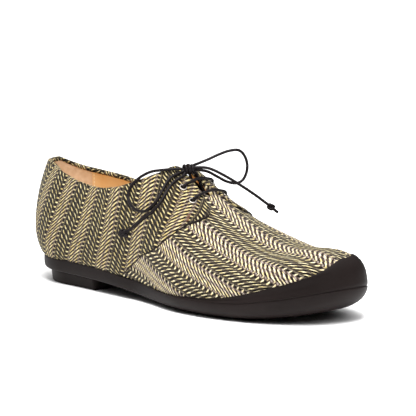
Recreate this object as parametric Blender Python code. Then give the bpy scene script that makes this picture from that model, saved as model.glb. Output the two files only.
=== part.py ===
"""Low herringbone wool lace-up shoe for the right foot, with a black rubber sole, heel and toe bumper.

Lengths are in millimetres and become metres when a mesh is made. The frame has +X towards the toe, +Y towards
the inner side of the foot and +Z up, with the origin on the floor under the middle of the shoe. Stations are
measured along the shoe from the back of the feather line, the edge where the upper meets the sole. "outer"
is the little toe side and "inner" the big toe side.
"""
import bisect
import functools
import math
from collections import namedtuple

import bmesh
import bpy
from mathutils import Matrix, Vector

MM = 0.001
GAP = 0.3

# Driving sizes of the last
FEATHER_LENGTH = 256.0
HEEL_CENTRE = 34.0
HEEL_HALF_WIDTH = 29.0
HEEL_RIDGE_RISE = 26.0
TOE_CENTRE = 234.0
TOE_OFFSET = 7.0
Side = namedtuple("Side", "sign waist_station waist_half ball_station ball_half toe_power")
SIDES = {
    "outer": Side(-1, 104.0, 32.5, 160.0, 43.0, 2.1),
    "inner": Side(1, 108.0, 24.0, 184.0, 43.0, 2.3),
}

# One row for each section of the last: height and offset of its ridge, height of its widest line, how far the
# wall swells over the feather line on each side, and how peaked the arch is
Section = namedtuple("Section", "station ridge ridge_offset widest outer_swell inner_swell peak")
LAST = (
    Section(34, 88.0, 0.0, 36.0, 5.5, 5.5, 1.0),
    Section(60, 90.0, -0.3, 36.0, 5.2, 5.2, 1.0),
    Section(90, 90.0, -1.0, 35.6, 5.0, 5.4, 1.0),
    Section(118, 83.0, -1.6, 33.2, 5.0, 7.0, 1.1),
    Section(140, 69.0, -1.4, 29.5, 3.6, 5.2, 1.15),
    Section(165, 55.5, 0.5, 25.7, 1.9, 2.8, 1.1),
    Section(190, 46.5, 3.0, 25.0, 1.4, 2.0, 1.0),
    Section(208, 42.6, 5.0, 25.6, 1.0, 1.3, 1.0),
    Section(216, 42.2, 5.8, 26.2, 0.8, 1.0, 1.0),
    Section(225, 43.0, 6.5, 27.0, 0.6, 0.7, 1.0),
    Section(234, 43.4, 7.0, 28.0, 0.5, 0.5, 1.0),
)
WALL = 2.2

# Top line of the upper: height of the collar on each side, then the throat between the facings
Collar = namedtuple("Collar", "station outer inner")
COLLAR = (
    Collar(0, 78.0, 78.0),
    Collar(14, 77.9, 70.2),
    Collar(34, 72.8, 65.8),
    Collar(55, 69.0, 63.2),
    Collar(72, 67.9, 63.5),
    Collar(88, 70.0, 67.0),
    Collar(104, 75.8, 74.5),
    Collar(118, 82.7, 82.7),
)
THROAT_TOP = 118.0
THROAT_END = 143.5
THROAT_ROUND = 6.0
THROAT_HALF_GAP = {"outer": 2.8, "inner": 5.2}

# Sole: heights of its top and of its tread, and how far its edge stands out beyond the feather line
Sole = namedtuple("Sole", "station top tread")
SOLE = (
    Sole(-2, 16.2, 9.4),
    Sole(40, 16.8, 9.2),
    Sole(66, 16.2, 9.0),
    Sole(90, 14.8, 7.2),
    Sole(115, 12.6, 3.2),
    Sole(135, 11.2, 0.5),
    Sole(148, 10.7, 0.0),
    Sole(175, 10.6, 0.0),
    Sole(202, 11.7, 0.0),
    Sole(225, 15.0, 2.0),
    Sole(245, 19.0, 6.2),
    Sole(260, 21.6, 11.4),
)
HEEL_MARGIN = 0.8
TOE_MARGIN = 3.0
MARGIN_START = 121.0
MARGIN_END = 186.0
SoleEdge = namedtuple("SoleEdge", "inset toe_inset drop")
SOLE_EDGE = (
    SoleEdge(0.0, 0.0, 0.0),
    SoleEdge(-0.4, 0.5, 0.35),
    SoleEdge(0.2, 2.2, 0.66),
    SoleEdge(1.9, 4.8, 0.90),
    SoleEdge(5.0, 9.0, 1.0),
)

# How far the edge rolls under at the heel, as a share of its roll at the ball, and where the toe's own roll sets in
HEEL_ROLL = 0.5
ROLL_START = 90.0
ROLL_END = 150.0
TOE_ROLL_START = 110.0
TOE_ROLL_END = 175.0

# Heel block
HEEL_BREAST = 65.0
HeelEdge = namedtuple("HeelEdge", "inset height")
HEEL_INSET = 4.6
HEEL_FOOT = (
    HeelEdge(5.4, 1.0),
    HeelEdge(6.2, 0.0),
)

# Toe bumper: height of its top edge over the sole on each side, highest over the big toe
Bumper = namedtuple("Bumper", "station outer inner")
BUMPER = (
    Bumper(168, 1.2, 1.2),
    Bumper(184, 1.9, 1.9),
    Bumper(194, 3.0, 3.4),
    Bumper(204, 4.6, 5.6),
    Bumper(222, 7.2, 11.0),
    Bumper(237, 9.3, 16.5),
    Bumper(248, 12.2, 19.6),
    Bumper(256, 17.5, 17.5),
)
BUMPER_START = {"outer": 168.0, "inner": 176.0}
BUMPER_LIP = 1.4
BUMPER_CLEARANCE = 0.5

# Insole and tongue
INSOLE_THICKNESS = 3.0
INSOLE_CLEARANCE = 0.9
TONGUE_THICKNESS = 1.8
TONGUE_HALF_WIDTH = 19.0
Tongue = namedtuple("Tongue", "station depth")
TONGUE = (
    Tongue(116, 3.4),
    Tongue(150, 3.4),
    Tongue(162, 1.2),
    Tongue(172, 0.5),
)

# Eyelets and lace
Eyelet = namedtuple("Eyelet", "name side station from_ridge")
EYELETS = (
    Eyelet("upper", "outer", 132.5, 12.5),
    Eyelet("lower", "outer", 143.0, 14.5),
    Eyelet("upper", "inner", 130.6, 13.6),
    Eyelet("lower", "inner", 140.2, 15.8),
)
EYELET_HOLE = 1.5
EYELET_BARREL = 2.0
EYELET_FLANGE = 2.6
EYELET_PROUD = 0.9
EYELET_SIDES = 14
LACE_RADIUS = 1.0
LACE_STEP = 5.0
BAR_OVER = 2.5
BAR_RISE = ((0.0, 0.2), (0.0, 1.3), (0.6, 2.3), (2.2, 2.7))

# The bow. A route has a row for each point. On the upper that is the station, the height of the wool there and
# how far the lace's middle is off the wool. At the knot and in the air it is a plain place.
KNOT = (127.2, -4.8, 82.5)
KNOT_HALF = (4.2, 3.8, 3.3)
TIP_HALF = (3.2, 2.4, 2.4)
OnWool = namedtuple("OnWool", "station wool_height over")
Place = namedtuple("Place", "station offset height")
LOOP_OUTER = (
    Place(124.2, -8.4, 82.7),
    OnWool(119.5, 80.2, 2.6),
    OnWool(114.8, 79.8, 2.4),
    OnWool(109.5, 78.8, 2.2),
    OnWool(104.7, 75.4, 2.0),
    OnWool(101.6, 70.0, 1.8),
    OnWool(102.3, 64.6, 1.7),
    OnWool(106.7, 60.0, 1.6),
    OnWool(113.3, 57.6, 1.6),
    OnWool(120.2, 57.7, 1.7),
    OnWool(124.0, 60.2, 1.9),
    OnWool(126.0, 64.6, 2.0),
    OnWool(125.4, 69.1, 2.1),
    OnWool(124.2, 73.8, 2.2),
    OnWool(123.9, 76.6, 2.5),
    Place(125.5, -8.8, 80.7),
)
END_OUTER = (
    Place(128.2, -9.3, 79.0),
    OnWool(126.9, 76.0, 1.8),
    OnWool(126.8, 73.6, 1.6),
    OnWool(127.9, 69.0, 1.6),
    OnWool(128.5, 64.8, 1.6),
    OnWool(127.8, 60.6, 1.6),
    OnWool(125.4, 57.0, 1.6),
    OnWool(121.0, 53.9, 1.6),
    OnWool(115.7, 49.8, 1.6),
    OnWool(110.8, 46.2, 1.6),
    OnWool(107.4, 43.6, 1.8),
)
TIP_OUTER = OnWool(104.0, 41.8, 2.8)
LOOP_INNER = (
    Place(129.2, -1.5, 84.9),
    Place(130.0, 3.0, 86.0),
    Place(132.2, 8.6, 88.0),
    Place(134.5, 14.6, 90.4),
    Place(137.0, 21.5, 92.4),
    Place(139.4, 28.0, 92.3),
    Place(141.0, 32.0, 87.6),
    Place(141.6, 33.0, 80.8),
    Place(141.0, 30.6, 74.4),
    Place(139.4, 26.0, 71.8),
    Place(137.2, 19.6, 73.2),
    Place(134.6, 13.0, 77.0),
    Place(132.2, 7.0, 80.4),
    Place(129.6, -1.0, 82.1),
)
END_INNER = (
    Place(130.9, -2.5, 83.7),
    Place(136.0, 4.6, 83.0),
    Place(142.5, 11.6, 78.6),
    Place(149.8, 18.5, 72.6),
    Place(156.4, 24.4, 66.8),
    Place(162.5, 29.4, 61.1),
)
TIP_INNER = Place(164.6, 31.2, 59.0)

# Mesh steps
HEEL_SHARE = 0.18
TOE_SHARE = 0.20
HEEL_STEPS = 6
TOE_STEPS = 7
COLLAR_STEPS = 9
THROAT_STEPS = 5
THROAT_ROUND_STEPS = 4
VAMP_STEPS = 9
WALL_ROWS = 11
BUMPER_ROWS = 5
FOOT_LIFT = 0.25
PROBE = 0.003


def ease(share):
    """Goes from 0 to 1 with level ends."""
    share = min(max(share, 0.0), 1.0)
    return share * share * (3.0 - 2.0 * share)


def curve_through(rows, column):
    """Returns a smooth function of the station through one column of a table, without overshoot."""
    xs = [row.station for row in rows]
    ys = [getattr(row, column) for row in rows]
    steps = [b - a for a, b in zip(xs, xs[1:])]
    rises = [(b - a) / step for a, b, step in zip(ys, ys[1:], steps)]
    bends = [2.0 * a * b / (a + b) if a * b > 0.0 else 0.0 for a, b in zip(rises, rises[1:])]
    slopes = [rises[0]] + bends + [rises[-1]]

    def at(station):
        station = min(max(station, xs[0]), xs[-1])
        i = min(bisect.bisect_right(xs, station), len(xs) - 1) - 1
        t = (station - xs[i]) / steps[i]
        start = ys[i] * (1 + 2 * t) + slopes[i] * steps[i] * t
        end = ys[i + 1] * (3 - 2 * t) + slopes[i + 1] * steps[i] * (t - 1)
        return start * (1 - t) ** 2 + end * t * t

    return at


ridge_at = curve_through(LAST, "ridge")
ridge_offset_at = curve_through(LAST, "ridge_offset")
widest_at = curve_through(LAST, "widest")
peak_at = curve_through(LAST, "peak")
swell_at = {name: curve_through(LAST, name + "_swell") for name in SIDES}
collar_at = {name: curve_through(COLLAR, name) for name in SIDES}
sole_top_at = curve_through(SOLE, "top")
tread_at = curve_through(SOLE, "tread")
bumper_at = {name: curve_through(BUMPER, name) for name in SIDES}
tongue_depth_at = curve_through(TONGUE, "depth")


# The last
def outline_offset(station, name):
    """Sideways place of the feather line on one side, between the heel and the toe."""
    side = SIDES[name]
    if station <= side.waist_station:
        share = ease((station - HEEL_CENTRE) / (side.waist_station - HEEL_CENTRE))
        return side.sign * (HEEL_HALF_WIDTH + (side.waist_half - HEEL_HALF_WIDTH) * share)
    if station <= side.ball_station:
        share = ease((station - side.waist_station) / (side.ball_station - side.waist_station))
        return side.sign * (side.waist_half + (side.ball_half - side.waist_half) * share)
    reach = (station - side.ball_station) / (FEATHER_LENGTH - side.ball_station)
    width = side.sign * side.ball_half - TOE_OFFSET
    return TOE_OFFSET + width * max(0.0, 1.0 - reach ** side.toe_power) ** (1.0 / side.toe_power)


def toe_reach(angle, name):
    """Distance from the toe centre to the feather line, at an angle from straight ahead."""
    side = SIDES[name]
    width = abs(side.sign * side.ball_half - TOE_OFFSET)
    length = FEATHER_LENGTH - side.ball_station
    near, far = 0.0, side.ball_half + FEATHER_LENGTH - TOE_CENTRE
    while far - near > 1e-6:
        reach = (near + far) / 2.0
        ahead = (TOE_CENTRE + reach * math.cos(angle) - side.ball_station) / length
        aside = reach * math.sin(angle) / width
        if ahead ** side.toe_power + aside ** side.toe_power < 1.0:
            near = reach
        else:
            far = reach
    return near


def run_at(station):
    """Share of the way from the heel's back to the toe's tip of a station between the two centres."""
    share = (station - HEEL_CENTRE) / (TOE_CENTRE - HEEL_CENTRE)
    return HEEL_SHARE + (1.0 - HEEL_SHARE - TOE_SHARE) * share


Wall = namedtuple("Wall", "x y ahead aside station feather widest foot_z widest_z ridge_z peak")


@functools.lru_cache(maxsize=None)
def wall_at(turn):
    """One upright section of the last. turn runs from 0 at the heel's back to 1 at the toe's tip on the inner
    side, and to -1 on the outer side."""
    turn = (turn + 1.0) % 2.0 - 1.0
    name = "inner" if turn > 0.0 else "outer"
    side = SIDES[name]
    run = abs(turn)
    rise = 0.0
    if run < HEEL_SHARE:
        angle = run / HEEL_SHARE * math.pi / 2.0
        x, y, ahead, aside = HEEL_CENTRE, 0.0, -math.cos(angle), side.sign * math.sin(angle)
        feather = 1.0 / math.hypot(ahead / HEEL_CENTRE, aside / HEEL_HALF_WIDTH)
        rise = HEEL_RIDGE_RISE * ahead ** 4
    elif run > 1.0 - TOE_SHARE:
        angle = (1.0 - run) / TOE_SHARE * math.pi / 2.0
        x, y, ahead, aside = TOE_CENTRE, TOE_OFFSET, math.cos(angle), side.sign * math.sin(angle)
        feather = toe_reach(angle, name)
    else:
        share = (run - HEEL_SHARE) / (1.0 - HEEL_SHARE - TOE_SHARE)
        x = HEEL_CENTRE + share * (TOE_CENTRE - HEEL_CENTRE)
        y, ahead, aside = ridge_offset_at(x), 0.0, float(side.sign)
        feather = abs(outline_offset(x, name) - y)
    foot_z = sole_top_at(x + ahead * feather) + GAP
    widest_z = widest_at(x) + 0.5 * (foot_z - GAP - sole_top_at(x))
    widest = feather + swell_at[name](x)
    return Wall(x, y, ahead, aside, x, feather, widest, foot_z, widest_z, ridge_at(x) + rise, peak_at(x))


def surface(turn, lift):
    """Point on the outside of the upper. lift runs from 0 at the feather line to 1 at the ridge, and past the
    ridge down the other side."""
    if lift > 1.0:
        return surface(-turn, 2.0 - lift)
    wall = wall_at(turn)
    if lift < FOOT_LIFT:
        share = lift / FOOT_LIFT
        out = wall.widest - (wall.widest - wall.feather) * (1.0 - share) ** 2
        height = wall.foot_z + (wall.widest_z - wall.foot_z) * share
    else:
        angle = (lift - FOOT_LIFT) / (1.0 - FOOT_LIFT) * math.pi / 2.0
        out = wall.widest * math.cos(angle)
        height = wall.widest_z + (wall.ridge_z - wall.widest_z) * math.sin(angle) ** wall.peak
    return Vector((wall.x + wall.ahead * out, wall.y + wall.aside * out, height))


def lift_at_height(turn, height):
    wall = wall_at(turn)
    share = (height - wall.widest_z) / (wall.ridge_z - wall.widest_z)
    if share < 0.0:
        return FOOT_LIFT * max(0.0, (height - wall.foot_z) / (wall.widest_z - wall.foot_z))
    angle = math.asin(min(share, 1.0) ** (1.0 / wall.peak))
    return FOOT_LIFT + (1.0 - FOOT_LIFT) * angle / (math.pi / 2.0)


def lift_at_distance(turn, from_ridge):
    share = min(from_ridge / wall_at(turn).widest, 1.0)
    return FOOT_LIFT + (1.0 - FOOT_LIFT) * math.acos(share) / (math.pi / 2.0)


def outward(turn, lift):
    """Unit normal of the upper's outside."""
    if lift > 1.0 - PROBE and abs(turn) > 1.0 - TOE_SHARE:
        return Vector((0.0, 0.0, 1.0))
    up = surface(turn, lift + PROBE) - surface(turn, max(lift - PROBE, 0.0))
    along = surface(turn + PROBE, lift) - surface(turn - PROBE, lift)
    return up.cross(along).normalized()


def proud(turn, lift, height):
    return surface(turn, lift) + outward(turn, lift) * height


def top_lift(turn):
    """Where the upper ends: at the collar, at the facing's edge, or at the ridge where it is closed."""
    wall = wall_at(turn)
    name = "inner" if turn > 0.0 else "outer"
    if wall.station >= THROAT_END:
        return 1.0
    bend = max(0.0, (wall.station - THROAT_END + THROAT_ROUND) / THROAT_ROUND)
    facing = lift_at_distance(turn, THROAT_HALF_GAP[name] * math.sqrt(max(0.0, 1.0 - bend * bend)))
    if wall.station > THROAT_TOP:
        return facing
    station = wall.station * min(1.0, abs(turn) / HEEL_SHARE)
    return min(facing, lift_at_height(turn, collar_at[name](station)))


def steps(start, end, count):
    return [start + (end - start) * i / count for i in range(count + 1)]


def half_round():
    """Runs of the sections from the heel's back to the toe's tip, closer together where the shape turns."""
    runs = steps(0.0, HEEL_SHARE, HEEL_STEPS)
    runs += steps(HEEL_SHARE, run_at(THROAT_TOP), COLLAR_STEPS)[1:]
    runs += steps(run_at(THROAT_TOP), run_at(THROAT_END - THROAT_ROUND), THROAT_STEPS)[1:]
    bends = steps(0.0, math.pi / 2.0, THROAT_ROUND_STEPS)[1:]
    runs += [run_at(THROAT_END - THROAT_ROUND * (1.0 - math.sin(bend))) for bend in bends]
    runs += steps(run_at(THROAT_END), 1.0 - TOE_SHARE, VAMP_STEPS)[1:]
    return runs + steps(1.0 - TOE_SHARE, 1.0, TOE_STEPS)[1:]


def margin_at(turn):
    """How far the sole's edge stands out beyond the feather line."""
    share = ease((wall_at(turn).station - MARGIN_START) / (MARGIN_END - MARGIN_START))
    return HEEL_MARGIN + (TOE_MARGIN - HEEL_MARGIN) * share


# Making objects
ORIGIN_STATION = (FEATHER_LENGTH + TOE_MARGIN - SOLE_EDGE[1].inset - LAST[0].outer_swell) / 2.0


def in_frame(point):
    return Vector((point[0] - ORIGIN_STATION, point[1], point[2])) * MM


def rubber_wool_or_metal(name, colour, roughness, metallic=0.0):
    material = bpy.data.materials.new(name)
    material.use_nodes = True
    shader = material.node_tree.nodes["Principled BSDF"]
    shader.inputs["Base Color"].default_value = (*colour, 1.0)
    shader.inputs["Roughness"].default_value = roughness
    shader.inputs["Metallic"].default_value = metallic
    return material


def add_object(name, data, material):
    data.materials.append(material)
    made = bpy.data.objects.new(name, data)
    bpy.context.scene.collection.objects.link(made)
    return made


class Skin:
    """Gathers strips of faces whose shared edges are welded into one closed mesh."""

    def __init__(self):
        self.points = []
        self.faces = []

    def grid(self, rows):
        """Adds the four-sided faces between neighbouring rows of points."""
        first = len(self.points)
        width = len(rows[0])
        for row in rows:
            self.points += [in_frame(point) for point in row]
        for i in range(len(rows) - 1):
            for j in range(width - 1):
                corner = first + i * width + j
                self.faces.append((corner, corner + 1, corner + width + 1, corner + width))

    def make(self, name, material):
        mesh = bpy.data.meshes.new(name)
        mesh.from_pydata(self.points, [], self.faces)
        work = bmesh.new()
        work.from_mesh(mesh)
        bmesh.ops.remove_doubles(work, verts=work.verts, dist=2e-6)
        bmesh.ops.recalc_face_normals(work, faces=work.faces)
        work.to_mesh(mesh)
        work.free()
        mesh.shade_smooth()
        mesh.set_sharp_from_angle(angle=math.radians(40.0))
        return add_object(name, mesh, material)


def shell(skin, outside, inside, start=True, end=True, foot=True, head=True):
    """Closes the space between two grids of columns, along the borders that are asked for."""
    skin.grid(outside)
    skin.grid(inside)
    if start:
        skin.grid([outside[0], inside[0]])
    if end:
        skin.grid([outside[-1], inside[-1]])
    if foot:
        skin.grid([[column[0] for column in outside], [column[0] for column in inside]])
    if head:
        skin.grid([[column[-1] for column in outside], [column[-1] for column in inside]])


def plate(name, columns, material):
    """A slab whose edge has the same columns of points on both sides, with rungs across between them."""
    skin = Skin()
    for side in SIDES:
        skin.grid(columns[side])
    for row in (0, -1):
        skin.grid([[column[row] for column in columns[side]] for side in SIDES])
    skin.grid([columns[side][-1] for side in SIDES])
    return skin.make(name, material)


def spread(turn, out, height_at):
    """Point at a distance from the section's centre, at the height that a function of the station gives."""
    wall = wall_at(turn)
    station = wall.x + wall.ahead * out
    return Vector((station, wall.y + wall.aside * out, height_at(station)))


# Sole, heel and insole
def sole_edge_point(turn, edge):
    wall = wall_at(turn)
    rolled = HEEL_ROLL + (1.0 - HEEL_ROLL) * ease((wall.station - ROLL_START) / (ROLL_END - ROLL_START))
    at_toe = ease((wall.x + wall.ahead * wall.feather - TOE_ROLL_START) / (TOE_ROLL_END - TOE_ROLL_START))
    inset = edge.inset * rolled + (edge.toe_inset - edge.inset) * at_toe
    out = wall.feather + margin_at(turn) - inset
    top = spread(turn, out, sole_top_at)
    tread = spread(turn, out, tread_at)
    return top.lerp(tread, edge.drop)


def make_outsole(material):
    columns = {}
    for name, side in SIDES.items():
        turns = [side.sign * run for run in half_round()]
        columns[name] = [[sole_edge_point(turn, edge) for edge in SOLE_EDGE] for turn in turns]
    return plate("outsole", columns, material)


def make_heel_block(material):
    runs = steps(0.0, HEEL_SHARE, HEEL_STEPS) + steps(HEEL_SHARE, run_at(HEEL_BREAST), 3)[1:]
    columns = {}
    for name, side in SIDES.items():
        columns[name] = []
        for run in runs:
            turn = side.sign * run
            edge = wall_at(turn).feather + HEEL_MARGIN
            column = [spread(turn, edge - HEEL_INSET, lambda x: tread_at(x) - GAP)]
            for foot in HEEL_FOOT:
                column.append(spread(turn, edge - foot.inset, lambda x, foot=foot: foot.height))
            columns[name].append(column)
    return plate("heel_block", columns, material)


def make_insole(material):
    columns = {}
    for name, side in SIDES.items():
        columns[name] = []
        for run in half_round():
            turn = side.sign * run
            out = wall_at(turn).feather - WALL - INSOLE_CLEARANCE
            low = spread(turn, out, sole_top_at) + Vector((0.0, 0.0, GAP))
            columns[name].append([low + Vector((0.0, 0.0, INSOLE_THICKNESS)), low])
    return plate("insole", columns, material)


# Upper, tongue and bumper
def wall_column(turn, lifts, height):
    """Points up one section at a height over the wool, the lowest one level with the sole's top."""
    column = [proud(turn, lift, height) for lift in lifts]
    column[0].z = sole_top_at(column[0].x) + GAP
    return column


def make_upper(material):
    skin = Skin()
    closed = run_at(THROAT_END)
    for side in SIDES.values():
        turns = [side.sign * run for run in half_round()]
        lifts = [steps(0.0, top_lift(turn), WALL_ROWS) for turn in turns]
        outside = [wall_column(turn, lift, 0.0) for turn, lift in zip(turns, lifts)]
        inside = [wall_column(turn, lift, -WALL) for turn, lift in zip(turns, lifts)]
        shell(skin, outside, inside, start=False, end=False, head=False)
        rim = [i for i, turn in enumerate(turns) if abs(turn) < closed + 1e-9]
        skin.grid([[outside[i][-1] for i in rim], [inside[i][-1] for i in rim]])
    return skin.make("upper", material)


def make_toe_bumper(material):
    skin = Skin()
    for name, side in SIDES.items():
        start = run_at(BUMPER_START[name])
        runs = [start] + [run for run in half_round() if run > start + 0.01]
        outside, inside = [], []
        for run in runs:
            turn = side.sign * run
            wall = wall_at(turn)
            foot_station = wall.x + wall.ahead * wall.feather
            top = lift_at_height(turn, wall.foot_z + bumper_at[name](foot_station))
            lifts = steps(0.0, top, BUMPER_ROWS)
            root = margin_at(turn)
            column = []
            for lift in lifts:
                out = outward(turn, lift)
                out.z = max(out.z, 0.0)
                thickness = root + (BUMPER_LIP - root) * ease(lift / top)
                column.append(surface(turn, lift) + out.normalized() * thickness)
            column[0] = spread(turn, wall.feather + root, sole_top_at) + Vector((0.0, 0.0, GAP))
            outside.append(column)
            inside.append(wall_column(turn, lifts, BUMPER_CLEARANCE))
        shell(skin, outside, inside, end=False)
    return skin.make("toe_bumper", material)


def tongue_point(station, across, depth):
    turn = math.copysign(run_at(station), across)
    return proud(turn, lift_at_distance(turn, abs(across)), -WALL - depth)


def make_tongue(material):
    skin = Skin()
    stations = steps(TONGUE[0].station, TONGUE[-1].station, 10)
    across = steps(-TONGUE_HALF_WIDTH, TONGUE_HALF_WIDTH, 8)
    upper_face, lower_face = [], []
    for station in stations:
        depth = tongue_depth_at(station)
        upper_face.append([tongue_point(station, place, depth) for place in across])
        lower_face.append([tongue_point(station, place, depth + TONGUE_THICKNESS) for place in across])
    shell(skin, upper_face, lower_face)
    return skin.make("tongue", material)


# Eyelets
def eyelet_frame(eyelet):
    """Matrix whose origin lies on the wool at the eyelet, with Z pointing out of it, in metres."""
    turn = SIDES[eyelet.side].sign * run_at(eyelet.station)
    lift = lift_at_distance(turn, eyelet.from_ridge)
    turned = outward(turn, lift).to_track_quat("Z", "Y").to_matrix().to_4x4()
    return Matrix.Translation(in_frame(surface(turn, lift))) @ turned


def turned_ring(name, profile, sides):
    """Mesh of a closed profile of radius and height, turned round Z."""
    work = bmesh.new()
    ring = [work.verts.new((radius * MM, 0.0, height * MM)) for radius, height in profile]
    edges = [work.edges.new((ring[i - 1], ring[i])) for i in range(len(ring))]
    bmesh.ops.spin(work, geom=ring + edges, axis=(0, 0, 1), cent=(0, 0, 0), steps=sides, angle=2.0 * math.pi)
    bmesh.ops.remove_doubles(work, verts=work.verts, dist=2e-6)
    bmesh.ops.recalc_face_normals(work, faces=work.faces)
    mesh = bpy.data.meshes.new(name)
    work.to_mesh(mesh)
    work.free()
    mesh.shade_smooth()
    return mesh


def make_eyelets(upper, material):
    low = -WALL - 0.5
    profile = (
        (EYELET_HOLE, low),
        (EYELET_HOLE, 0.5),
        (EYELET_HOLE + 0.35, EYELET_PROUD),
        (EYELET_FLANGE - 0.35, EYELET_PROUD),
        (EYELET_FLANGE, 0.6),
        (EYELET_FLANGE, GAP),
        (EYELET_BARREL, GAP),
        (EYELET_BARREL, low),
    )
    for eyelet in EYELETS:
        label = f"{eyelet.name}_{eyelet.side}"
        frame = eyelet_frame(eyelet)
        ring = turned_ring(f"eyelet_{label}", profile, EYELET_SIDES)
        add_object(f"eyelet_{label}", ring, material).matrix_world = frame
        punch = bmesh.new()
        bmesh.ops.create_cone(punch, cap_ends=True, segments=EYELET_SIDES, radius1=(EYELET_BARREL + GAP) * MM,
                              radius2=(EYELET_BARREL + GAP) * MM, depth=12.0 * MM)
        mesh = bpy.data.meshes.new(f"punch_{label}")
        punch.to_mesh(mesh)
        punch.free()
        cutter = add_object(f"punch_{label}", mesh, material)
        cutter.matrix_world = frame
        cutter.hide_render = True
        cutter.display_type = "WIRE"
        hole = upper.modifiers.new(f"hole_{label}", "BOOLEAN")
        hole.operation = "DIFFERENCE"
        hole.object = cutter


# Lace
def smooth_route(points):
    """Points every few millimetres along a smooth curve through a route's own points."""
    padded = [points[0] * 2.0 - points[1], *points, points[-1] * 2.0 - points[-2]]
    fine = [points[0]]
    for a, b, c, d in zip(padded, padded[1:], padded[2:], padded[3:]):
        count = max(1, round((c - b).length / LACE_STEP))
        for i in range(1, count + 1):
            t = i / count
            fine.append(0.5 * (2 * b + (c - a) * t + (2 * a - 5 * b + 4 * c - d) * t * t
                               + (3 * b - a - 3 * c + d) * t ** 3))
    return fine


def in_route(row):
    """Point of a lace route, on the wool of the outer side or at a plain place."""
    if isinstance(row, Place):
        return Vector(row)
    turn = SIDES["outer"].sign * run_at(row.station)
    return proud(turn, lift_at_height(turn, row.wool_height), row.over)


def over_facing(station, across, over):
    """Point over the facings, at a distance from the ridge that is negative on the outer side."""
    turn = math.copysign(run_at(station), across)
    return proud(turn, lift_at_distance(turn, abs(across)), over)


def lace_tube(name, points, material):
    curve = bpy.data.curves.new(name, "CURVE")
    curve.dimensions = "3D"
    curve.bevel_depth = LACE_RADIUS * MM
    curve.bevel_resolution = 2
    curve.use_fill_caps = True
    spline = curve.splines.new("POLY")
    route = [in_frame(point) for point in points]
    spline.points.add(len(route) - 1)
    for point, place in zip(spline.points, route):
        point.co = (*place, 1.0)
    return add_object(name, curve, material)


def make_bar(outer, inner, material):
    """A straight bar of the lace, out of one eyelet, over the facings and into the other."""
    start = [(outer.station, inward - outer.from_ridge, over) for inward, over in BAR_RISE]
    end = [(inner.station, inner.from_ridge - inward, over) for inward, over in reversed(BAR_RISE)]
    route = list(start)
    for share in steps(0.0, 1.0, 8)[1:-1]:
        station = outer.station + (inner.station - outer.station) * share
        across = start[-1][1] + (end[0][1] - start[-1][1]) * share
        route.append((station, across, BAR_OVER))
    points = [over_facing(*place) for place in route + end]
    return lace_tube(f"lace_bar_{outer.name}", points, material)


def make_lump(name, centre, half, towards, material):
    """A rounded closed lump for a tightened knot."""
    work = bmesh.new()
    bmesh.ops.create_icosphere(work, subdivisions=2, radius=1.0)
    turned = towards.to_track_quat("X", "Z").to_matrix().to_4x4()
    shape = Matrix.Translation(in_frame(centre)) @ turned @ Matrix.Diagonal((*(Vector(half) * MM), 1.0))
    bmesh.ops.transform(work, matrix=shape, verts=work.verts)
    mesh = bpy.data.meshes.new(name)
    work.to_mesh(mesh)
    work.free()
    mesh.shade_smooth()
    return add_object(name, mesh, material)


def make_bow(material):
    make_lump("lace_knot", Vector(KNOT), KNOT_HALF, Vector((0.4, 1.0, 0.0)), material)
    for side, loop, end, tip in (("outer", LOOP_OUTER, END_OUTER, TIP_OUTER),
                                 ("inner", LOOP_INNER, END_INNER, TIP_INNER)):
        lace_tube(f"lace_loop_{side}", smooth_route([in_route(row) for row in loop]), material)
        lace_tube(f"lace_end_{side}", smooth_route([in_route(row) for row in end]), material)
        towards = in_route(tip) - in_route(end[-1])
        make_lump(f"lace_tip_{side}", in_route(tip), TIP_HALF, towards, material)


def main():
    for item in list(bpy.data.objects):
        bpy.data.objects.remove(item, do_unlink=True)
    rubber = rubber_wool_or_metal("sole_rubber", (0.026, 0.022, 0.021), 0.6)
    wool = rubber_wool_or_metal("herringbone_wool", (0.34, 0.30, 0.20), 0.9)
    leather = rubber_wool_or_metal("lining_leather", (0.72, 0.36, 0.12), 0.55)
    nickel = rubber_wool_or_metal("eyelet_nickel", (0.66, 0.64, 0.60), 0.3, 1.0)
    cord = rubber_wool_or_metal("lace_cord", (0.010, 0.009, 0.009), 0.45)
    make_outsole(rubber)
    make_heel_block(rubber)
    make_toe_bumper(rubber)
    upper = make_upper(wool)
    make_insole(leather)
    make_tongue(leather)
    make_eyelets(upper, nickel)
    for outer, inner in zip(EYELETS[:2], EYELETS[2:]):
        make_bar(outer, inner, cord)
    make_bow(cord)


main()
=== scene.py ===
"""Low wool lace-up shoe for the right foot: herringbone upper, tan leather lining, black rubber sole, bow.

Lengths are in millimetres until a mesh is made. Stations are measured along the shoe from the back of the
feather line, the edge where the upper meets the sole. "outer" is the little toe side, "inner" the big toe
side.
"""
import bisect
import functools
import math
from collections import namedtuple

import bmesh
import bpy
from mathutils import Matrix, Vector


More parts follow.
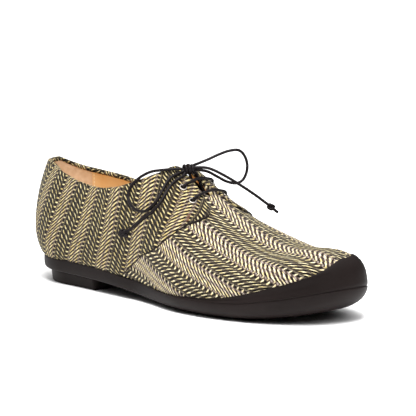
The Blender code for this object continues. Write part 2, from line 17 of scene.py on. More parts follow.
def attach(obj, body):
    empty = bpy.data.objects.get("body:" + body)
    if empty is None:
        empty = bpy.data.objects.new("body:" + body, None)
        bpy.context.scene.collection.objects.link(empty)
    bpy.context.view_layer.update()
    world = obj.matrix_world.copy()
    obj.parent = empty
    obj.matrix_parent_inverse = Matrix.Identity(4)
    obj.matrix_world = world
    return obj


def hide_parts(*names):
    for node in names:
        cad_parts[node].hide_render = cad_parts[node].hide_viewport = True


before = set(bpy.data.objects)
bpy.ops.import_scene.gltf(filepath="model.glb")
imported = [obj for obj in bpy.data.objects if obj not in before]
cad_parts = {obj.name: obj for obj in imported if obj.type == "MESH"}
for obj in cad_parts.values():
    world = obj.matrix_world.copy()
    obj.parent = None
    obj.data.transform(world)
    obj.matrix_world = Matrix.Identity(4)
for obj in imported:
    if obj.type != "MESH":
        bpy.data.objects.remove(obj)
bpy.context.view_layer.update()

# The last. A wooden form that the upper is pulled over, so its shape is the shape of the shoe.
# Its sections fan out round the heel and the toe. A turn goes from 0 at the heel's back to 1 at the toe's tip
# on the inner side, or to -1 on the outer.
MM = 0.001
ORIGIN_STATION = 126.95
FEATHER_LENGTH = 256.0
HEEL_CENTRE = 34.0
HEEL_HALF_WIDTH = 29.0
HEEL_RIDGE_RISE = 26.0
TOE_CENTRE = 234.0
TOE_OFFSET = 7.0
HEEL_SHARE = 0.18
TOE_SHARE = 0.20
FOOT_LIFT = 0.25
PROBE = 0.003
WALL = 2.2
Side = namedtuple("Side", "sign waist_station waist_half ball_station ball_half toe_power")
SIDES = {
    "outer": Side(-1, 104.0, 32.5, 160.0, 43.0, 2.1),
    "inner": Side(1, 108.0, 24.0, 184.0, 43.0, 2.3),
}
Section = namedtuple("Section", "station ridge ridge_offset widest outer_swell inner_swell peak")
LAST = (
    Section(34, 88.0, 0.0, 36.0, 5.5, 5.5, 1.0),
    Section(60, 90.0, -0.3, 36.0, 5.2, 5.2, 1.0),
    Section(90, 90.0, -1.0, 35.6, 5.0, 5.4, 1.0),
    Section(118, 83.0, -1.6, 33.2, 5.0, 7.0, 1.1),
    Section(140, 69.0, -1.4, 29.5, 3.6, 5.2, 1.15),
    Section(165, 55.5, 0.5, 25.7, 1.9, 2.8, 1.1),
    Section(190, 46.5, 3.0, 25.0, 1.4, 2.0, 1.0),
    Section(208, 42.6, 5.0, 25.6, 1.0, 1.3, 1.0),
    Section(216, 42.2, 5.8, 26.2, 0.8, 1.0, 1.0),
    Section(225, 43.0, 6.5, 27.0, 0.6, 0.7, 1.0),
    Section(234, 43.4, 7.0, 28.0, 0.5, 0.5, 1.0),
)
Sole = namedtuple("Sole", "station top tread")
SOLE = (
    Sole(-2, 16.2, 9.4),
    Sole(40, 16.8, 8.7),
    Sole(66, 16.2, 8.2),
    Sole(90, 14.8, 6.9),
    Sole(115, 12.6, 3.8),
    Sole(135, 11.2, 1.6),
    Sole(148, 10.7, 0.8),
    Sole(175, 10.6, 0.0),
    Sole(202, 11.7, 0.6),
    Sole(225, 15.2, 3.6),
    Sole(245, 19.4, 7.8),
    Sole(260, 23.0, 13.0),
)


def ease(share):
    """Goes from 0 to 1 with level ends."""
    share = min(max(share, 0.0), 1.0)
    return share * share * (3.0 - 2.0 * share)


def steps(start, end, count):
    return [start + (end - start) * i / count for i in range(count + 1)]


def curve_through(rows, column):
    """Returns a smooth function of the station through one column of a table, without overshoot."""
    xs = [row.station for row in rows]
    ys = [getattr(row, column) for row in rows]
    gaps = [b - a for a, b in zip(xs, xs[1:])]
    rises = [(b - a) / gap for a, b, gap in zip(ys, ys[1:], gaps)]
    bends = [2.0 * a * b / (a + b) if a * b > 0.0 else 0.0 for a, b in zip(rises, rises[1:])]
    slopes = [rises[0]] + bends + [rises[-1]]

    def at(station):
        station = min(max(station, xs[0]), xs[-1])
        i = min(bisect.bisect_right(xs, station), len(xs) - 1) - 1
        t = (station - xs[i]) / gaps[i]
        start = ys[i] * (1 + 2 * t) + slopes[i] * gaps[i] * t
        end = ys[i + 1] * (3 - 2 * t) + slopes[i + 1] * gaps[i] * (t - 1)
        return start * (1 - t) ** 2 + end * t * t

    return at


ridge_at = curve_through(LAST, "ridge")
ridge_offset_at = curve_through(LAST, "ridge_offset")
widest_at = curve_through(LAST, "widest")
peak_at = curve_through(LAST, "peak")
swell_at = {name: curve_through(LAST, name + "_swell") for name in SIDES}
sole_top_at = curve_through(SOLE, "top")
tread_at = curve_through(SOLE, "tread")


def outline_offset(station, name):
    """Sideways place of the feather line on one side, between the heel and the toe."""
    side = SIDES[name]
    if station <= side.waist_station:
        share = ease((station - HEEL_CENTRE) / (side.waist_station - HEEL_CENTRE))
        return side.sign * (HEEL_HALF_WIDTH + (side.waist_half - HEEL_HALF_WIDTH) * share)
    if station <= side.ball_station:
        share = ease((station - side.waist_station) / (side.ball_station - side.waist_station))
        return side.sign * (side.waist_half + (side.ball_half - side.waist_half) * share)
    reach = (station - side.ball_station) / (FEATHER_LENGTH - side.ball_station)
    width = side.sign * side.ball_half - TOE_OFFSET
    return TOE_OFFSET + width * max(0.0, 1.0 - reach ** side.toe_power) ** (1.0 / side.toe_power)


def toe_reach(angle, name):
    """Distance from the toe centre to the feather line, at an angle from straight ahead."""
    side = SIDES[name]
    width = abs(side.sign * side.ball_half - TOE_OFFSET)
    length = FEATHER_LENGTH - side.ball_station
    near, far = 0.0, side.ball_half + FEATHER_LENGTH - TOE_CENTRE
    while far - near > 1e-6:
        reach = (near + far) / 2.0
        ahead = (TOE_CENTRE + reach * math.cos(angle) - side.ball_station) / length
        aside = reach * math.sin(angle) / width
        if ahead ** side.toe_power + aside ** side.toe_power < 1.0:
            near = reach
        else:
            far = reach
    return near


def run_at(station):
    """Share of the way from the heel's back to the toe's tip of a station between the two fans."""
    share = (station - HEEL_CENTRE) / (TOE_CENTRE - HEEL_CENTRE)
    return HEEL_SHARE + (1.0 - HEEL_SHARE - TOE_SHARE) * share


Wall = namedtuple("Wall", "x y ahead aside feather widest foot_z widest_z ridge_z peak")


@functools.lru_cache(maxsize=None)
def wall_at(turn):
    """One upright section of the last."""
    turn = (turn + 1.0) % 2.0 - 1.0
    name = "inner" if turn > 0.0 else "outer"
    side = SIDES[name]
    run = abs(turn)
    rise = 0.0
    if run < HEEL_SHARE:
        angle = run / HEEL_SHARE * math.pi / 2.0
        x, y, ahead, aside = HEEL_CENTRE, 0.0, -math.cos(angle), side.sign * math.sin(angle)
        feather = 1.0 / math.hypot(ahead / HEEL_CENTRE, aside / HEEL_HALF_WIDTH)
        rise = HEEL_RIDGE_RISE * ahead ** 4
    elif run > 1.0 - TOE_SHARE:
        angle = (1.0 - run) / TOE_SHARE * math.pi / 2.0
        x, y, ahead, aside = TOE_CENTRE, TOE_OFFSET, math.cos(angle), side.sign * math.sin(angle)
        feather = toe_reach(angle, name)
    else:
        share = (run - HEEL_SHARE) / (1.0 - HEEL_SHARE - TOE_SHARE)
        x = HEEL_CENTRE + share * (TOE_CENTRE - HEEL_CENTRE)
        y, ahead, aside = ridge_offset_at(x), 0.0, float(side.sign)
        feather = abs(outline_offset(x, name) - y)
    foot_z = sole_top_at(x + ahead * feather)
    widest_z = widest_at(x) + 0.5 * (foot_z - sole_top_at(x))
    widest = feather + swell_at[name](x)
    return Wall(x, y, ahead, aside, feather, widest, foot_z, widest_z, ridge_at(x) + rise, peak_at(x))


def surface(turn, lift):
    """Point on the last. lift runs from 0 at the feather line to 1 at the ridge, then down the other side."""
    if lift > 1.0:
        return surface(-turn, 2.0 - lift)
    wall = wall_at(turn)
    if lift < FOOT_LIFT:
        share = lift / FOOT_LIFT
        out = wall.widest - (wall.widest - wall.feather) * (1.0 - share) ** 2
        height = wall.foot_z + (wall.widest_z - wall.foot_z) * share
    else:
        angle = (lift - FOOT_LIFT) / (1.0 - FOOT_LIFT) * math.pi / 2.0
        out = wall.widest * math.cos(angle)
        height = wall.widest_z + (wall.ridge_z - wall.widest_z) * math.sin(angle) ** wall.peak
    return Vector((wall.x + wall.ahead * out, wall.y + wall.aside * out, height))


def lift_at_height(turn, height):
    wall = wall_at(turn)
    share = (height - wall.widest_z) / (wall.ridge_z - wall.widest_z)
    if share < 0.0:
        return FOOT_LIFT * max(0.0, (height - wall.foot_z) / (wall.widest_z - wall.foot_z))
    angle = math.asin(min(share, 1.0) ** (1.0 / wall.peak))
    return FOOT_LIFT + (1.0 - FOOT_LIFT) * angle / (math.pi / 2.0)


def lift_at_distance(turn, from_ridge):
    share = min(from_ridge / wall_at(turn).widest, 1.0)
    return FOOT_LIFT + (1.0 - FOOT_LIFT) * math.acos(share) / (math.pi / 2.0)


def outward(turn, lift):
    """Unit normal of the last."""
    if lift > 1.0 - PROBE and abs(turn) > 1.0 - TOE_SHARE:
        return Vector((0.0, 0.0, 1.0))
    up = surface(turn, lift + PROBE) - surface(turn, max(lift - PROBE, 0.0))
    along = surface(turn + PROBE, lift) - surface(turn - PROBE, lift)
    return up.cross(along).normalized()


def proud(turn, lift, height):
    return surface(turn, lift) + outward(turn, lift) * height


# Vamp. The front of the upper, cut in one piece of herringbone tweed and pulled over the toe.
# Its columns run along the foot. The wool is bonded to the lining, and its edge is cut under the facings.
COLLAR_FOLD = 1.3
Collar = namedtuple("Collar", "station outer inner")
COLLAR = (
    Collar(0, 78.0, 78.0),
    Collar(14, 77.9, 70.2),
    Collar(34, 72.8, 65.8),
    Collar(55, 69.0, 63.2),
    Collar(72, 67.9, 63.5),
    Collar(88, 70.0, 67.0),
    Collar(104, 75.8, 74.5),
    Collar(118, 82.7, 82.7),
)
THROAT_TOP = 118.0
THROAT_END = 143.5
THROAT_ROUND = 6.0
THROAT_HALF_GAP = {"outer": 2.8, "inner": 5.2}
collar_at = {name: curve_through(COLLAR, name) for name in SIDES}
VAMP_START = 88.0
VAMP_ROWS = 44
VAMP_COLUMNS = (22, 26, 62, 30)
HALF_COLUMN = 14.0
ROW = 3.0
VAMP_HALF_COLUMN = 13.15
VAMP_TOEWARD_LINE = 32.8
VAMP_DRIFT = 0.072
VAMP_DRIFT_FROM = 157.0
VAMP_OUTER_GATHER = 1.155
VAMP_OUTER_GATHER_FADE = 0.003
VAMP_INNER_GATHER = 0.97
VAMP_STRETCH = 1.055
VAMP_FIRST_ROW = 96.0
VAMP_RIDGE_ROW = 4.62
VAMP_ROW_FAN = 0.016
VAMP_CLIMB = -0.18
GIRTH_STEPS = 40
RIM_ROUND = 0.7
RIM_WOOL = 1.9


def top_lift(turn):
    """Where the wool ends: at the collar's fold, at the throat's slot, or at the ridge where it is closed."""
    wall = wall_at(turn)
    name = "inner" if turn > 0.0 else "outer"
    if wall.x >= THROAT_END:
        return 1.0
    bend = max(0.0, (wall.x - THROAT_END + THROAT_ROUND) / THROAT_ROUND)
    slot = lift_at_distance(turn, THROAT_HALF_GAP[name] * math.sqrt(max(0.0, 1.0 - bend * bend)))
    if wall.x > THROAT_TOP:
        return slot
    station = wall.x * min(1.0, abs(turn) / HEEL_SHARE)
    return min(slot, lift_at_height(turn, collar_at[name](station) - COLLAR_FOLD))


@functools.lru_cache(maxsize=None)
def girth(turn):
    """Lengths up one section from the feather line, at even steps of lift as far as the ridge."""
    lengths = [0.0]
    before = surface(turn, 0.0)
    for lift in steps(0.0, 1.0, GIRTH_STEPS)[1:]:
        point = surface(turn, lift)
        lengths.append(lengths[-1] + (point - before).length)
        before = point
    return lengths


def up_wall(turn, lift):
    """Length up the section from the feather line to a lift."""
    lengths = girth(turn)
    place = min(lift, 1.0) * GIRTH_STEPS
    low = min(int(place), GIRTH_STEPS - 1)
    return lengths[low] + (lengths[low + 1] - lengths[low]) * (place - low)


def vamp_chart(turn, lift):
    """Place in the vamp's cloth, in its own relaxed millimetres: across the columns and along the rows.

    It is cut upside down. Pulled over the toe, its columns close up beside the ridge and its rows fan out
    from the throat."""
    wall = wall_at(turn)
    side = -1.0 if turn > 0.0 else 1.0
    from_ridge = girth(turn)[-1] - up_wall(turn, lift)
    aside = side * from_ridge * abs(wall.aside)
    across = aside - wall.y - VAMP_DRIFT * (wall.x - VAMP_DRIFT_FROM) - VAMP_TOEWARD_LINE
    if across > 0.0:
        across *= VAMP_OUTER_GATHER - VAMP_OUTER_GATHER_FADE * across
    else:
        across *= VAMP_INNER_GATHER
    ahead = (wall.x + from_ridge * wall.ahead) * VAMP_STRETCH - VAMP_FIRST_ROW
    rows = ahead / (VAMP_RIDGE_ROW - VAMP_ROW_FAN * abs(aside))
    return -across * HALF_COLUMN / VAMP_HALF_COLUMN, -rows * ROW


def in_frame(point):
    return Vector((point[0] - ORIGIN_STATION, point[1], point[2])) * MM


PUNCH_DEPTH = 6.0
PUNCH_CUT = 0.6
WELD = 0.002


class Skin:
    """Gathers grids of faces, each corner with its place in the cloth or leather, in millimetres."""

    def __init__(self):
        self.work = bmesh.new()
        self.chart = self.work.loops.layers.uv.new("chart")

    def grid(self, points, charts=None, turned=False, slot=0):
        verts = [[self.work.verts.new(in_frame(point)) for point in row] for row in points]
        for i in range(len(points) - 1):
            for j in range(len(points[0]) - 1):
                corners = [(i, j), (i, j + 1), (i + 1, j + 1), (i + 1, j)]
                if turned:
                    corners.reverse()
                face = self.work.faces.new([verts[a][b] for a, b in corners])
                face.smooth = True
                face.material_index = slot
                for loop, (a, b) in zip(face.loops, corners if charts else ()):
                    loop[self.chart].uv = charts[a][b]

    def punch(self, holes, radius):
        """Opens a round hole about each axis, given as a point on it and its direction."""
        gone = []
        for vert in self.work.verts:
            for middle, axis in holes:
                apart = vert.co - in_frame(middle)
                level = apart - axis * apart.dot(axis)
                if abs(apart.dot(axis)) > PUNCH_DEPTH * MM or level.length > radius * MM:
                    continue
                if level.length < PUNCH_CUT * radius * MM:
                    gone.append(vert)
                else:
                    vert.co += level.normalized() * (radius * MM - level.length)
                break
        bmesh.ops.delete(self.work, geom=gone, context="VERTS")

    def make(self, name, slot, *materials):
        bmesh.ops.remove_doubles(self.work, verts=self.work.verts, dist=WELD * MM)
        loose = [vert for vert in self.work.verts if not vert.link_faces]
        bmesh.ops.delete(self.work, geom=loose, context="VERTS")
        mesh = bpy.data.meshes.new(name)
        self.work.to_mesh(mesh)
        self.work.free()
        for material in materials:
            mesh.materials.append(material)
        made = bpy.data.objects.new(name, mesh)
        bpy.context.scene.collection.objects.link(made)
        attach(made, "root")
        return made


def linear(code):
    """Linear colour of an sRGB hex code."""
    parts = [int(code[i:i + 2], 16) / 255.0 for i in (1, 3, 5)]
    return (*[c / 12.92 if c <= 0.04045 else ((c + 0.055) / 1.055) ** 2.4 for c in parts], 1.0)


def add(tree, kind, inputs=None, **settings):
    """Adds a shader node. Each of its inputs gets a value, a node's first output, or an output."""
    node = tree.nodes.new("ShaderNode" + kind)
    for key, value in settings.items():
        setattr(node, key, value)
    for key, value in (inputs or {}).items():
        if isinstance(value, bpy.types.Node):
            value = value.outputs[0]
        if isinstance(value, bpy.types.NodeSocket):
            tree.links.new(value, node.inputs[key])
        else:
            node.inputs[key].default_value = value
    return node


def new_material(name, **sockets):
    """A material, its tree and its shader, with the shader's plain sockets set."""
    made = bpy.data.materials.new(name)
    made.use_nodes = True
    shader = made.node_tree.nodes["Principled BSDF"]
    for key, value in sockets.items():
        shader.inputs[key.replace("_", " ")].default_value = value
    return made, made.node_tree, shader


Dash = namedtuple("Dash", "across up length width slope strength")
CREAM_YARN = (
    Dash(-0.2, 0.00, 3.6, 1.0, -0.08, 1.0),
    Dash(2.5, 0.78, 2.6, 0.85, -0.25, 0.55),
    Dash(4.8, 2.55, 6.4, 1.0, 1.0, 1.0),
    Dash(9.7, 1.54, 6.0, 1.0, 1.0, 1.0),
    Dash(13.95, 0.73, 2.9, 0.95, 0.0, 0.8),
    Dash(18.2, 0.95, 4.4, 0.95, -0.75, 0.9),
    Dash(23.3, 0.60, 5.2, 0.9, -0.9, 0.85),
)
TAUPE_YARN = (
    Dash(2.6, 2.30, 2.6, 1.0, 0.5, 0.7),
    Dash(7.5, 2.80, 5.0, 1.0, 1.15, 1.0),
    Dash(12.2, 0.30, 4.2, 0.9, 1.4, 0.9),
    Dash(15.5, 1.50, 3.4, 0.9, -2.0, 0.7),
    Dash(20.4, 2.50, 3.2, 0.8, -0.9, 0.6),
    Dash(26.0, 1.00, 2.8, 0.8, -0.5, 0.5),
)
BLACK_YARN = (
    Dash(0.3, 1.49, 2.2, 1.5, 0.0, 1.0),
    Dash(4.1, 0.25, 3.6, 0.85, 1.0, 0.9),
    Dash(7.45, 0.66, 2.2, 1.0, 0.9, 0.9),
    Dash(10.3, 0.47, 3.8, 0.9, 1.0, 1.0),
    Dash(13.9, 2.15, 2.2, 1.6, 0.1, 1.0),
    Dash(16.4, 0.66, 1.7, 1.1, 0.0, 0.7),
    Dash(19.0, 1.80, 4.8, 1.15, -0.62, 1.0),
    Dash(23.2, 2.00, 3.2, 1.3, -0.85, 1.0),
)


def herringbone_tweed(name, climb, painted_light_and_shade, depth):
    """Wool tweed in herringbone. Cream yarns float in short slanting dashes on a ground of taupe and dark
    brown, and black yarns come up between them in dots. Matt and hairy, with only the nap's sheen."""
    made, tree, shader = new_material(name, Roughness=0.92, Specular_IOR_Level=0.15, Sheen_Weight=0.08,
                                      Sheen_Roughness=0.5)
    chart = add(tree, "UVMap", uv_map="chart")
    # No yarn lies quite straight
    sway = add(tree, "TexNoise", {"Vector": chart, "Scale": 1 / 9.0, "Detail": 1.0}).outputs["Color"]
    laid = add(tree, "VectorMath", {0: sway, 1: (1.4, 1.2, 0.0), 2: chart}, operation="MULTIPLY_ADD")
    quiver = add(tree, "TexNoise", {"Vector": chart, "Scale": 1 / 1.5, "Detail": 1.0}).outputs["Color"]
    laid = add(tree, "VectorMath", {0: quiver, 1: (0.9, 0.6, 0.0), 2: laid}, operation="MULTIPLY_ADD")
    place = add(tree, "SeparateXYZ", {0: laid})
    half = add(tree, "Math", {0: place.outputs[0], 1: HALF_COLUMN}, operation="PINGPONG")
    up = add(tree, "Math", {0: half, 1: climb, 2: place.outputs[1]}, operation="MULTIPLY_ADD")
    # The repeat, charted dash by dash: two half columns wide and one row high
    yarns = []
    for dashes in (CREAM_YARN, TAUPE_YARN, BLACK_YARN):
        yarn = 0.0
        for dash in dashes:
            aside = add(tree, "Math", {0: place.outputs[0], 1: dash.across}, operation="SUBTRACT")
            aside = add(tree, "Math", {0: aside, 1: HALF_COLUMN, 2: -HALF_COLUMN}, operation="WRAP")
            above = add(tree, "Math", {0: aside, 1: -dash.slope, 2: up}, operation="MULTIPLY_ADD")
            above = add(tree, "Math", {0: above, 1: dash.up}, operation="SUBTRACT")
            above = add(tree, "Math", {0: above, 1: ROW / 2, 2: -ROW / 2}, operation="WRAP")
            off = add(tree, "CombineXYZ", {0: aside, 1: above})
            steep = math.hypot(1.0, dash.slope)
            shrink = (2 * steep / dash.length, 2 / (steep * dash.width), 0.0)
            off = add(tree, "VectorMath", {0: off, 1: shrink}, operation="MULTIPLY")
            off = add(tree, "VectorMath", {0: off}, operation="LENGTH").outputs["Value"]
            float_on = add(tree, "MapRange", {0: off, 1: 0.6, 2: 1.1, 3: dash.strength, 4: 0.0},
                           interpolation_type="SMOOTHSTEP")
            yarn = add(tree, "Math", {0: yarn, 1: float_on}, operation="MAXIMUM")
        yarns.append(yarn)
    cream, taupe, black = yarns
    # The ground is painted darker in every second half column, as shade on the twill that lies away from the
    # light
    turn_back = add(tree, "Math", {0: place.outputs[0], 1: 2 * HALF_COLUMN}, operation="FLOORED_MODULO")
    twill_painted_shade = add(tree, "MapRange", {0: turn_back, 1: HALF_COLUMN - 0.5, 2: HALF_COLUMN + 0.5})
    # Each float is a little lighter or darker than the next
    tint = add(tree, "TexNoise", {"Vector": chart, "Scale": 1 / 2.4, "Detail": 2.0})
    bright = add(tree, "MapRange", {0: tint, 1: 0.35, 2: 0.65})
    cream_colour = add(tree, "MixRGB", {0: bright, 1: linear("#D8C488"), 2: linear("#FBF0C6")})
    taupe_plain = add(tree, "MixRGB", {0: twill_painted_shade, 1: linear("#A09285"), 2: linear("#857A68")})
    taupe_light = add(tree, "MixRGB", {0: twill_painted_shade, 1: linear("#BDAFA2"), 2: linear("#A29781")})
    taupe_colour = add(tree, "MixRGB", {0: bright, 1: taupe_plain, 2: taupe_light})
    brown = add(tree, "MixRGB", {0: twill_painted_shade, 1: linear("#54463C"), 2: linear("#3B3327")})
    ground = add(tree, "MixRGB", {0: taupe, 1: brown, 2: taupe_colour})
    cloth = add(tree, "MixRGB", {0: cream, 1: ground, 2: cream_colour})
    cloth = add(tree, "MixRGB", {0: black, 1: cloth, 2: linear("#080505")})
    cloth = add(tree, "Gamma", {0: cloth, 1: depth})
    # Painted light and shade: the cloth is multiplied by a tint, bleached bluer on the vamp that faces the
    # light, darker on the quarters in side shade
    cloth = add(tree, "MixRGB", {0: 1.0, 1: cloth, 2: (*painted_light_and_shade, 1.0)}, blend_type="MULTIPLY")
    tree.links.new(cloth.outputs[0], shader.inputs["Base Color"])
    # Floats stand up, black dots lie low, and fine hairs roughen both
    height = add(tree, "Math", {0: taupe, 1: 0.4, 2: cream}, operation="MULTIPLY_ADD")
    height = add(tree, "Math", {0: height, 1: black}, operation="SUBTRACT")
    hair = add(tree, "TexNoise", {"Vector": chart, "Scale": 1 / 0.35, "Detail": 3.0})
    height = add(tree, "Math", {0: hair, 1: 0.35, 2: height}, operation="MULTIPLY_ADD")
    bump = add(tree, "Bump", {"Height": height, "Strength": 0.7, "Distance": 0.4 * MM})
    tree.links.new(bump.outputs[0], shader.inputs["Normal"])
    return made


def leather(name, plain, light, rough):
    """Vegetable tanned lining leather: smooth grain with fine pores, softly blotched, a low satin shine."""
    made, tree, shader = new_material(name, Roughness=rough, Specular_IOR_Level=0.35)
    place = add(tree, "TexCoord").outputs["Object"]
    blotch = add(tree, "TexNoise", {"Vector": place, "Scale": 1 / (14 * MM), "Detail": 3.0})
    tone = add(tree, "MapRange", {0: blotch, 1: 0.3, 2: 0.7})
    skin = add(tree, "MixRGB", {0: tone, 1: linear(plain), 2: linear(light)})
    tree.links.new(skin.outputs[0], shader.inputs["Base Color"])
    pores = add(tree, "TexVoronoi", {"Vector": place, "Scale": 1 / (0.7 * MM)})
    bump = add(tree, "Bump", {"Height": pores, "Strength": 0.25, "Distance": 0.1 * MM})
    tree.links.new(bump.outputs[0], shader.inputs["Normal"])
    return made


tan_leather = leather("tan_lining_leather", "#CC9C60", "#DCB27A", 0.5)
edge_leather = leather("brown_cut_edge_leather", "#8A5A2A", "#A87238", 0.6)
# Painted light: the vamp's tweed is tinted bluer and paler, as bleached by the light from above
vamp_tweed = herringbone_tweed("vamp_tweed_painted_light", VAMP_CLIMB, (1.0, 1.01, 1.1), 1.12)

Eyelet = namedtuple("Eyelet", "name side station from_ridge")
EYELETS = (
    Eyelet("upper", "outer", 132.5, 12.5),
    Eyelet("lower", "outer", 143.0, 14.5),
    Eyelet("upper", "inner", 130.6, 13.6),
    Eyelet("lower", "inner", 140.2, 15.8),
)
EYELET_BARREL = 2.0
eyelet_axes = []
for eyelet in EYELETS:
    turn = SIDES[eyelet.side].sign * run_at(eyelet.station)
    lift = lift_at_distance(turn, eyelet.from_ridge)
    eyelet_axes.append((surface(turn, lift), outward(turn, lift)))

vamp_runs = steps(run_at(VAMP_START), run_at(THROAT_TOP), VAMP_COLUMNS[0])
vamp_runs += steps(run_at(THROAT_TOP), run_at(THROAT_END), VAMP_COLUMNS[1])[1:]
vamp_runs += steps(run_at(THROAT_END), 1.0 - TOE_SHARE, VAMP_COLUMNS[2])[1:]
vamp_runs += steps(1.0 - TOE_SHARE, 1.0, VAMP_COLUMNS[3])[1:]
skin = Skin()
for side in SIDES.values():
    points, charts, rim, rim_charts = [], [], [], []
    for run in vamp_runs:
        turn = side.sign * run
        lifts = steps(0.0, top_lift(turn), VAMP_ROWS)
        points.append([proud(turn, lift, 0.0) for lift in lifts])
        charts.append([vamp_chart(turn, lift) for lift in lifts])
        if run <= run_at(THROAT_END) + 1e-9:
            rim.append([proud(turn, lifts[-1], height) for height in (0.0, -RIM_ROUND, -RIM_WOOL, -WALL)])
            rim_charts.append([vamp_chart(turn, lifts[-1])] * 3)
    skin.grid(points, charts, turned=side.sign < 0)
    skin.grid([row[:3] for row in rim], rim_charts, turned=side.sign < 0)
    skin.grid([row[2:] for row in rim], rim_charts, turned=side.sign < 0, slot=1)
skin.punch(eyelet_axes, EYELET_BARREL)
vamp = skin.make("vamp", "herringbone_wool", vamp_tweed, edge_leather)
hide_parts("upper")

# Quarters. The two back pieces of the upper, laid over the vamp and stitched down along their front edge.
# Same tweed with its columns upright. The facings in front carry the eyelets, and the edges are turned in.
QUARTER_THICKNESS = 0.9
QUARTER_FOOT = 0.15
QUARTER_FOOT_TAPER = 4.0
QUARTER_PEAK_LINE = 41.5
QUARTER_ROW = 3.03
FOOT_BEND = 0.011
FOOT_BEND_BELOW = 36.0
TOP_BEND = 0.009
TOP_BEND_ABOVE = 42.0
HEEL_LEAN = 0.29
HEEL_LEAN_ABOVE = 13.0
HEEL_LEAN_FROM = 49.0
HEEL_LEAN_OVER = 32.0
HEEL_STRETCH = 0.12
HEEL_STRETCH_FROM = 10.0
QUARTER_SEAM_FOOT = 96.0
FACING_BLEND = 4.0
FACING_EDGE_SHARE = 0.98
TIP_LIFTED = 0.9
TIP_LIFTED_WITHIN = 7.0
Seam = namedtuple("Seam", "station height")
QUARTER_SEAM = (
    Seam(120.5, 30.0),
    Seam(131.0, 35.0),
    Seam(138.5, 38.7),
    Seam(143.7, 43.5),
    Seam(147.6, 47.0),
    Seam(152.2, 52.6),
    Seam(155.0, 54.3),
    Seam(156.4, 55.6),
    Seam(156.9, 56.6),
)
Facing = namedtuple("Facing", "station outer inner")
FACING_EDGE = (
    Facing(118.0, 3.0, 3.0),
    Facing(125.0, 2.9, 3.2),
    Facing(131.0, 2.8, 3.6),
    Facing(137.0, 3.2, 6.4),
    Facing(140.0, 4.6, 8.4),
    Facing(144.0, 5.2, 9.6),
    Facing(148.0, 7.3, 10.4),
    Facing(151.0, 8.3, 11.2),
    Facing(154.0, 10.5, 12.4),
    Facing(155.6, 12.4, 13.8),
    Facing(156.6, 14.8, 15.6),
)
EDGE_TURNS = ((0.020, 1.0), (0.012, 0.97), (0.006, 0.86), (0.002, 0.62), (0.0, 0.40))
EDGE_UNDER = (0.009, 0.02)
EDGE_THREAD_OVER = 0.1
EDGE_THREAD_RADIUS = 0.42
TIP_GAP = (0.80, 0.985)
TIP_SHADOW_RADIUS = 0.75


@functools.lru_cache(maxsize=None)
def along(turn):
    """Place along the shoe: the station, carried on round the heel along its widest line."""
    run = abs(turn)
    if run >= HEEL_SHARE:
        return wall_at(turn).x
    places = [surface(math.copysign(share, turn), FOOT_LIFT) for share in steps(run, HEEL_SHARE, 10)]
    return HEEL_CENTRE - sum((b - a).length for a, b in zip(places, places[1:]))


def quarter_chart(turn, lift):
    """Place in the quarter's cloth, in its own relaxed millimetres: across the columns and up them.

    The columns bend forwards at the foot and at the top, and lean forwards round the heel, as the cloth is
    pulled round the last."""
    up = up_wall(turn, lift)
    bend = FOOT_BEND * max(0.0, FOOT_BEND_BELOW - up) ** 2 + TOP_BEND * max(0.0, up - TOP_BEND_ABOVE) ** 2
    across = along(turn) + bend - QUARTER_PEAK_LINE
    at_heel = min(1.0, max(0.0, (HEEL_LEAN_FROM - across) / HEEL_LEAN_OVER))
    lean = HEEL_LEAN * max(0.0, up - HEEL_LEAN_ABOVE) * at_heel
    lean += HEEL_STRETCH * max(0.0, HEEL_STRETCH_FROM - across)
    return HALF_COLUMN + across - lean, up * ROW / QUARTER_ROW


def spaced(places):
    """Smooth line through places on the last, as a function of the share of its length."""
    padded = [places[0], *places, places[-1]]
    fine = []
    for a, b, c, d in zip(padded, padded[1:], padded[2:], padded[3:]):
        for t in steps(0.0, 1.0, 8)[:-1]:
            fine.append([0.5 * (2 * b[i] + (c[i] - a[i]) * t + (2 * a[i] - 5 * b[i] + 4 * c[i] - d[i]) * t * t
                                + (3 * b[i] - a[i] - 3 * c[i] + d[i]) * t ** 3) for i in (0, 1)])
    fine.append(list(places[-1]))
    marks = [0.0]
    for before, after in zip(fine, fine[1:]):
        marks.append(marks[-1] + (surface(*after) - surface(*before)).length)

    def at(share):
        length = share * marks[-1]
        i = min(bisect.bisect_right(marks, length), len(marks) - 1) - 1
        t = (length - marks[i]) / max(marks[i + 1] - marks[i], 1e-9)
        return [a + (b - a) * t for a, b in zip(fine[i], fine[i + 1])]

    return at


def shares_to_edge(count):
    """Even shares that close up at the turned edge, each with the height that is left of the cloth there, and
    last of all the fold under it."""
    even = [(share, 1.0) for share in steps(0.0, 1.0 - EDGE_TURNS[0][0], count)[:-1]]
    edge = [*EDGE_TURNS, EDGE_UNDER]
    return even + [(1.0 - back, height) for back, height in edge]


def mottled(name, grain, detail, plain, light, **sockets):
    """A material of two close tones that change over a grain of some millimetres."""
    made, tree, shader = new_material(name, **sockets)
    place = add(tree, "TexCoord").outputs["Object"]
    cloud = add(tree, "TexNoise", {"Vector": place, "Scale": 1 / (grain * MM), "Detail": detail})
    tone = add(tree, "MixRGB", {0: cloud, 1: linear(plain), 2: linear(light)})
    tree.links.new(tone.outputs[0], shader.inputs["Base Color"])
    return made


# Painted shade: the quarters' tweed is tinted darker, as their upright sides are in shade
quarter_tweed = herringbone_tweed("quarter_tweed_painted_shade", 0.0, (0.78, 0.77, 0.74), 1.22)
front_lines, tip_shadow_lines = {}, {}
